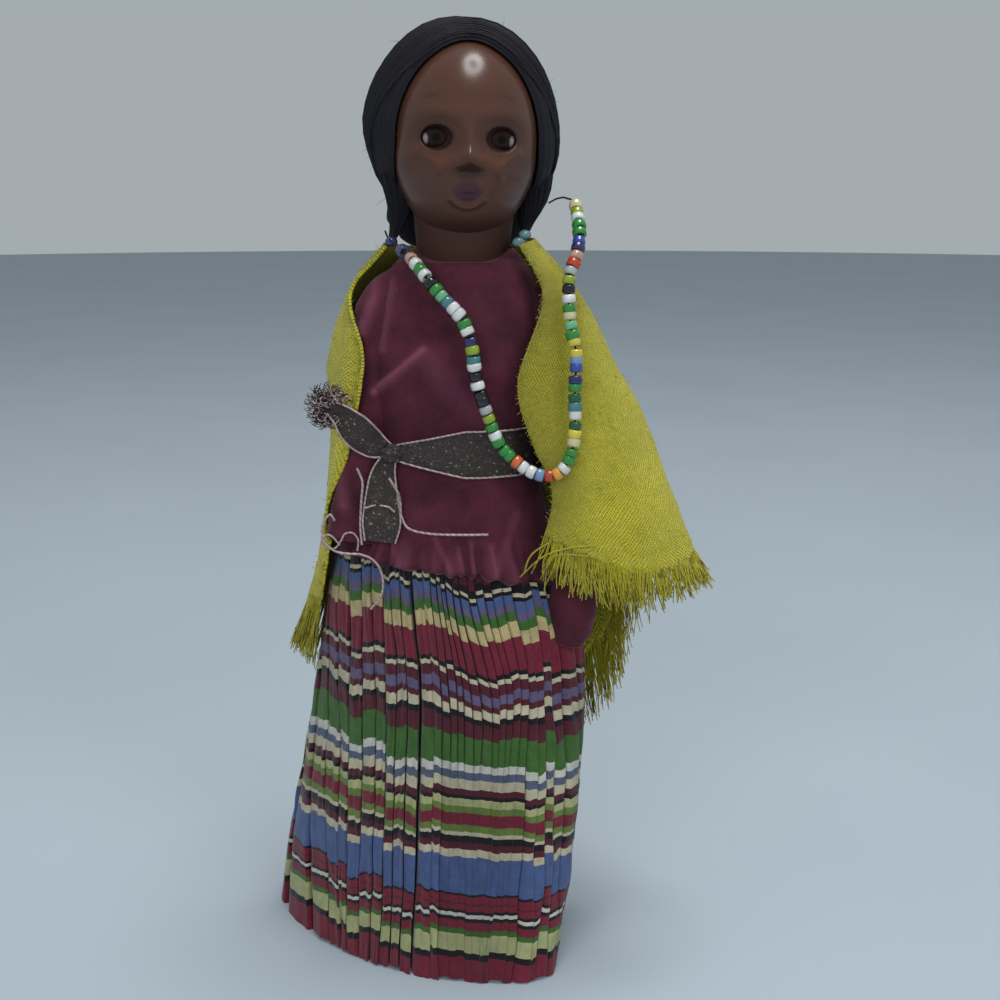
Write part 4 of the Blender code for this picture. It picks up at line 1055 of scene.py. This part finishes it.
for k, name in enumerate(ORDER):
    if name == "gap":
        continue
    slot = k + (1.3 if k == 0 else 2.4 if k < FIRST_GAP else 0.5)
    travelled = lengths[-1] * slot / len(ORDER)
    at = max(1, next(i for i, length in enumerate(lengths) if length >= travelled))
    run = (strung[min(at + 2, len(strung) - 1)] - strung[max(0, at - 3)]).normalized()
    run = (run + Vector([random.uniform(-0.12, 0.12) for _ in range(3)])).normalized()
    wide, tall = random.uniform(1.22, 1.42), random.uniform(0.74, 0.88)
    bm = bmesh.new()
    ring = [(0.42, -0.75), (0.86, -1.0), (1.0, -0.55), (1.0, 0.55), (0.86, 1.0), (0.42, 0.75)]
    profile = [bm.verts.new((wide * r, 0, tall * h)) for r, h in ring]
    wire_edges = [bm.edges.new(pair) for pair in zip(profile, profile[1:] + profile[:1])]
    bmesh.ops.spin(bm, geom=profile + wire_edges, cent=(0, 0, 0), axis=(0, 0, 1), angle=math.tau, steps=12,
                   use_merge=True, dvec=(0, 0, 0))
    bmesh.ops.recalc_face_normals(bm, faces=bm.faces)
    bm.transform(Matrix.Translation(strung[at]) @ run.to_track_quat("Z", "Y").to_matrix().to_4x4())
    made = bpy.data.meshes.new("bead")
    bm.to_mesh(made)
    bm.free()
    bead_shapes[name].from_mesh(made)
    bpy.data.meshes.remove(made)
for name, tint in GLASS.items():
    bead = Finish("glass_" + name, "seed_beads", Roughness=0.18, Coat_Weight=0.6, Coat_Roughness=0.06)
    cloud = bead.noise(bead.place(), 700.0, 2.0)
    low, high = ([c * share for c in srgb(*tint)] for share in (0.5, 0.85))
    bead.feed(Base_Color=bead.mix(cloud, low, high), Roughness=0.12 + cloud * 0.2,
              height=cloud, depth=0.00004)
    from_bmesh("beads_" + name, bead_shapes[name], bead)
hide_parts("bead_necklace")

# %% [markdown]
# ## The beads that tie the hair
# A dark bead holds the left lock and two greenish glass beads hold the right one. Black thread is
# wound round each lock above them, but only the beads are made here.

# %% Hair beads
for name, places, tint in (("hair_bead_left", [(-3.6, 0.2, 148.6)], (50, 56, 104)),
                           ("hair_beads_right", [(22.6, 0.4, 149.9), (21.3, -0.8, 148.5)], (104, 140, 146))):
    tie = Finish(name + "_glass", "seed_beads", Roughness=0.15, Coat_Weight=0.6)
    cloud = tie.noise(tie.place(), 900.0)
    tie.feed(Base_Color=tie.mix(cloud, [c * 0.6 for c in srgb(*tint)], srgb(*tint)), height=cloud, depth=0.00005)
    bm = bmesh.new()
    for x, y, z in places:
        made = bmesh.ops.create_uvsphere(bm, u_segments=24, v_segments=16, radius=1.25,
                                         matrix=Matrix.Translation((x, y, z)))["verts"]
        bmesh.ops.scale(bm, verts=made, vec=(1, 1, 0.8), space=Matrix.Translation((-x, -y, -z)))
    from_bmesh(name + "_fine", bm, tie, [name])

# %% [markdown]
# ## The shawl
# The shawl is loosely woven yellow wool. The weave shows as rows of small dark gaps, and the yarn is
# uneven, so some rows are paler. Shade is painted into the cloth along its right front edge. Attributes
# count the yarns both ways. The sheet gets its thickness from a Solidify modifier, which keeps both
# faces a constant distance apart.

# %% Yellow wool
wool = Finish("yellow_open_wool", "yellow_wool", Roughness=0.95, Sheen_Weight=0.5, Sheen_Roughness=0.6,
              Sheen_Tint=(0.95, 0.9, 0.4, 1), Specular_IOR_Level=0.15)
u, v, _ = wool.parts(wool.place("cloth"))
wander = (wool.noise(wool.place(), 420.0, 4.0) - 0.5) * 1.8
drift = (wool.noise(wool.place(), 310.0, 4.0) - 0.5) * 1.8
WEAVE = 0.95
one_way = ((u + v + wander) * (math.tau / WEAVE)).sin()
other_way = ((u - v + drift) * (math.tau / WEAVE)).sin()
gap = (one_way * 0.5 + 0.5) * (other_way * 0.5 + 0.5)
fuzz = wool.noise(wool.place(), 1500.0, 3.0, 0.6)
patch = wool.noise(wool.place(), 70.0, 3.0)
wool_tint = wool.mix(patch, srgb(158, 148, 12), srgb(192, 182, 28))
# Painted shade: the wool is darker close to the right front edge
from_front = u.above(11, 20)
wool_tint = wool.shade(wool_tint, (0.58 + fuzz * 0.8) * (0.62 + from_front * 0.38))
hole = gap.above(0.66, 0.3)
wool.feed(Base_Color=wool.mix(hole * 0.65, wool_tint, srgb(62, 54, 16)),
          height=(1 - gap) * 0.8 + fuzz * 0.6, depth=0.00045)

# %% The shawl's sheet
SHAWL_RIBS = [
    [(21.2, -4.5, 148.0), (25.8, -8.0, 138.2), (21.0, -11.9, 122.5), (23.8, -12.9, 111.0), (27.8, -13.4, 101.0),
     (25.0, -16.0, 88.5)],
    [(23.0, -3.0, 148.4), (30.0, -7.0, 138.0), (31.5, -9.4, 122.0), (33.5, -11.5, 110.0), (35.0, -13.4, 98.0),
     (36.5, -15.6, 83.0)],
    [(24.0, -0.5, 148.6), (33.6, -3.5, 137.0), (38.6, -6.5, 122.0), (42.5, -8.5, 110.0), (46.5, -10.0, 95.0),
     (49.5, -11.0, 77.5)],
    [(24.2, 2.0, 148.2), (33.6, 2.0, 136.0), (41.2, 1.0, 122.5), (48.2, 0.0, 108.5), (53.4, -1.5, 94.0),
     (58.4, -3.0, 82.5)],
    [(23.4, 5.5, 148.6), (32.6, 8.5, 137.0), (38.0, 10.5, 122.0), (42.0, 11.5, 107.0), (44.5, 10.5, 90.0),
     (46.0, 8.0, 71.0)],
    [(20.0, 10.0, 147.2), (24.6, 15.4, 138.5), (27.6, 18.6, 122.0), (30.5, 19.6, 105.0), (33.5, 19.6, 80.0),
     (36.8, 15.0, 55.0)],
    [(10.0, 15.4, 146.4), (10.0, 18.6, 139.0), (9.5, 20.6, 122.0), (9.0, 21.4, 105.0), (8.5, 23.0, 80.0),
     (8.0, 25.0, 52.0)],
    [(0.0, 11.6, 146.8), (-4.6, 15.4, 139.0), (-8.4, 18.2, 122.0), (-10.5, 19.2, 105.0), (-13.5, 21.0, 80.0),
     (-15.5, 23.0, 54.0)],
    [(-4.6, 6.0, 147.6), (-11.0, 9.0, 139.5), (-17.0, 10.4, 125.0), (-17.0, 11.0, 108.0), (-19.6, 12.5, 84.0),
     (-24.6, 14.0, 66.0)],
    [(-4.2, -0.5, 147.4), (-10.8, -2.0, 138.5), (-8.6, -7.2, 127.0), (-10.5, -8.9, 113.0), (-16.2, -4.0, 90.0),
     (-20.5, 3.4, 67.5)],
]


def woven_edge(across):
    """How far down the ribs the weave ends and the fringe begins; the back layer hangs lower."""
    return 0.93 + 0.04 * math.exp(-((across - 0.56) / 0.06) ** 2)


def shawl_point(across, down):
    """Point of the shawl's inner face; across runs from the front edge round the back."""
    return Vector(along([along(rib, down) for rib in SHAWL_RIBS], across))


# Room between a sleeve and the shawl, and the height over which one row of a sleeve counts, in mm
ROOM = 0.9
ROW_REACH = 1.7


def clear_of(rows, point):
    """The point, moved out of a sleeve that it would cut."""
    for x, y, z, radius in rows:
        flat = Vector((point.x - x, point.y - y, 0))
        if abs(point.z - z) < ROW_REACH and flat.length < radius + ROOM:
            return Vector((x, y, point.z)) + flat.normalized() * (radius + ROOM)
    return point


def shawl_normal(across, down):
    """Outward direction of the shawl at a point."""
    a, b = shawl_point(max(0, across - 0.01), down), shawl_point(min(1, across + 0.01), down)
    c, d = shawl_point(across, max(0, down - 0.01)), shawl_point(across, min(1, down + 0.01))
    return (d - c).cross(b - a).normalized()


other_arm = route(RIGHT_SLEEVE, 60)
bm = bmesh.new()
bmesh.ops.create_grid(bm, x_segments=240, y_segments=120, size=0.5)
cloth = bm.verts.layers.float_vector.new("cloth")
for vert in bm.verts:
    across = vert.co.x + 0.5
    down = (0.5 - vert.co.y) * woven_edge(across)
    ragged = 0.012 * noise.noise(Vector((across * 60, 2, 0))) * smooth(0.85, 0.93, down)
    point = shawl_point(across, down + ragged)
    slack = 0.45 * noise.noise(point * 0.09) + 0.15 * noise.noise(point * 0.4)
    point = point + shawl_normal(across, down) * (0.25 + slack * smooth(0, 0.15, down))
    vert.co = clear_of(other_arm, clear_of(arm, point)) if down < 0.8 else point
    vert[cloth] = (across * 165, down * 88, 0)
bm.normal_update()
outside = sum(f.normal.dot(f.calc_center_median() - Vector((8, 3, 110))) for f in bm.faces)
if outside < 0:
    bmesh.ops.reverse_faces(bm, faces=bm.faces)
shawl = from_bmesh("shawl_cloth", bm, wool, ["shawl"])
wall = shawl.modifiers.new("thickness", "SOLIDIFY")
wall.thickness, wall.offset = 0.6 * MM, 1.0

# %% [markdown]
# ## The fringe
# The fringe is the shawl's own yarn, left unwoven at its lower edge. Every thread starts inside the
# weave, runs on the way the cloth runs, and then falls and curls as it likes. A few have worked loose
# and hang further, and short loose fibres stand off the whole cloth.

# %% Fringe threads
random.seed(41)
fringe = []
shares = [random.random() for _ in range(520)] + [random.gauss(0.56, 0.04) for _ in range(240)]
shares += [random.uniform(0.86, 0.999) for _ in range(160)] + [random.uniform(0.04, 0.36) for _ in range(240)]
for across in shares:
    back = smooth(0.36, 0.5, across)
    woven = woven_edge(across) - 0.03
    stop = 1.02 - 0.055 * math.exp(-((across - 0.22) / 0.06) ** 2)
    stop += random.uniform(-0.02, 0.02 + 0.015 * back)
    root, tip = shawl_point(across, woven), shawl_point(across, 1.0)
    outward = shawl_normal(across, 0.95) * 0.5
    run = (tip - root).normalized()
    length = (tip - root).length * (stop - woven) / (1.0 - woven)
    length += random.uniform(0, 0.5 + 1.4 * back) + 3 * math.exp(-((across - 0.57) / 0.05) ** 2)
    sway = Vector([random.uniform(-1, 1) for _ in range(3)])
    fall = sway * 1.1 + Vector((0, 0, -0.3 - 0.7 * back))
    phase, line = random.uniform(0, 6), []
    for step in range(8):
        t = step / 7
        curl = Vector((math.sin(phase + 5 * t), math.cos(phase + 4 * t), 0.3 * math.sin(3 * t + phase)))
        point = root + outward * (1 + t) + run * length * t + fall * t * t + curl * 0.5 * t
        line.append((*point, 1 - 0.45 * t))
    fringe.append(line)
# Four threads that lie across the front of the fringe, as x and z
STRAYS = [
    [(36.3, 91.4), (31, 91.0), (26.0, 89.4), (21.6, 85.1)], [(34.8, 89.4), (29, 89.6), (27.0, 87.9), (26.3, 81.7)],
    [(35.2, 86.5), (37, 82.0), (39.2, 78.4)], [(27, 92), (23.6, 89.5), (22.4, 86.0)],
]
for stray in STRAYS:
    fringe.append([(x, -16.9 + 0.3 * math.sin(7 * k), z, 1 - 0.03 * k)
                   for k, (x, z) in enumerate(route(stray, 12))])
for _ in range(1100):
    across = random.choice((0.003, 0.997, random.random(), random.random()))
    down = random.uniform(0.02, 0.96)
    root, outward = shawl_point(across, down), shawl_normal(across, down)
    drift = Vector([random.uniform(-1, 1) for _ in range(3)])
    fringe.append([(*(root + outward * (0.6 + 1.0 * t - 0.5 * t * t) + drift * 1.1 * t * t), 0.35 - 0.15 * t)
                   for t in (0, 0.35, 0.7, 1)])
fringe_piece = from_lines("shawl_fringe", fringe, 0.19, wool)

# %% [markdown]
# ## The area of each cloth sheet
# The shawl, the skirt and the ribbon are sheets that were cut flat before they were worn. The area of
# each finished piece is printed.

# %% Sheets
def area_of(piece):
    return sum(p.area for p in piece.data.polygons)


for piece in (shawl, skirt, band):
    print(piece.name, "area", round(area_of(piece) * 1e6), "mm2")
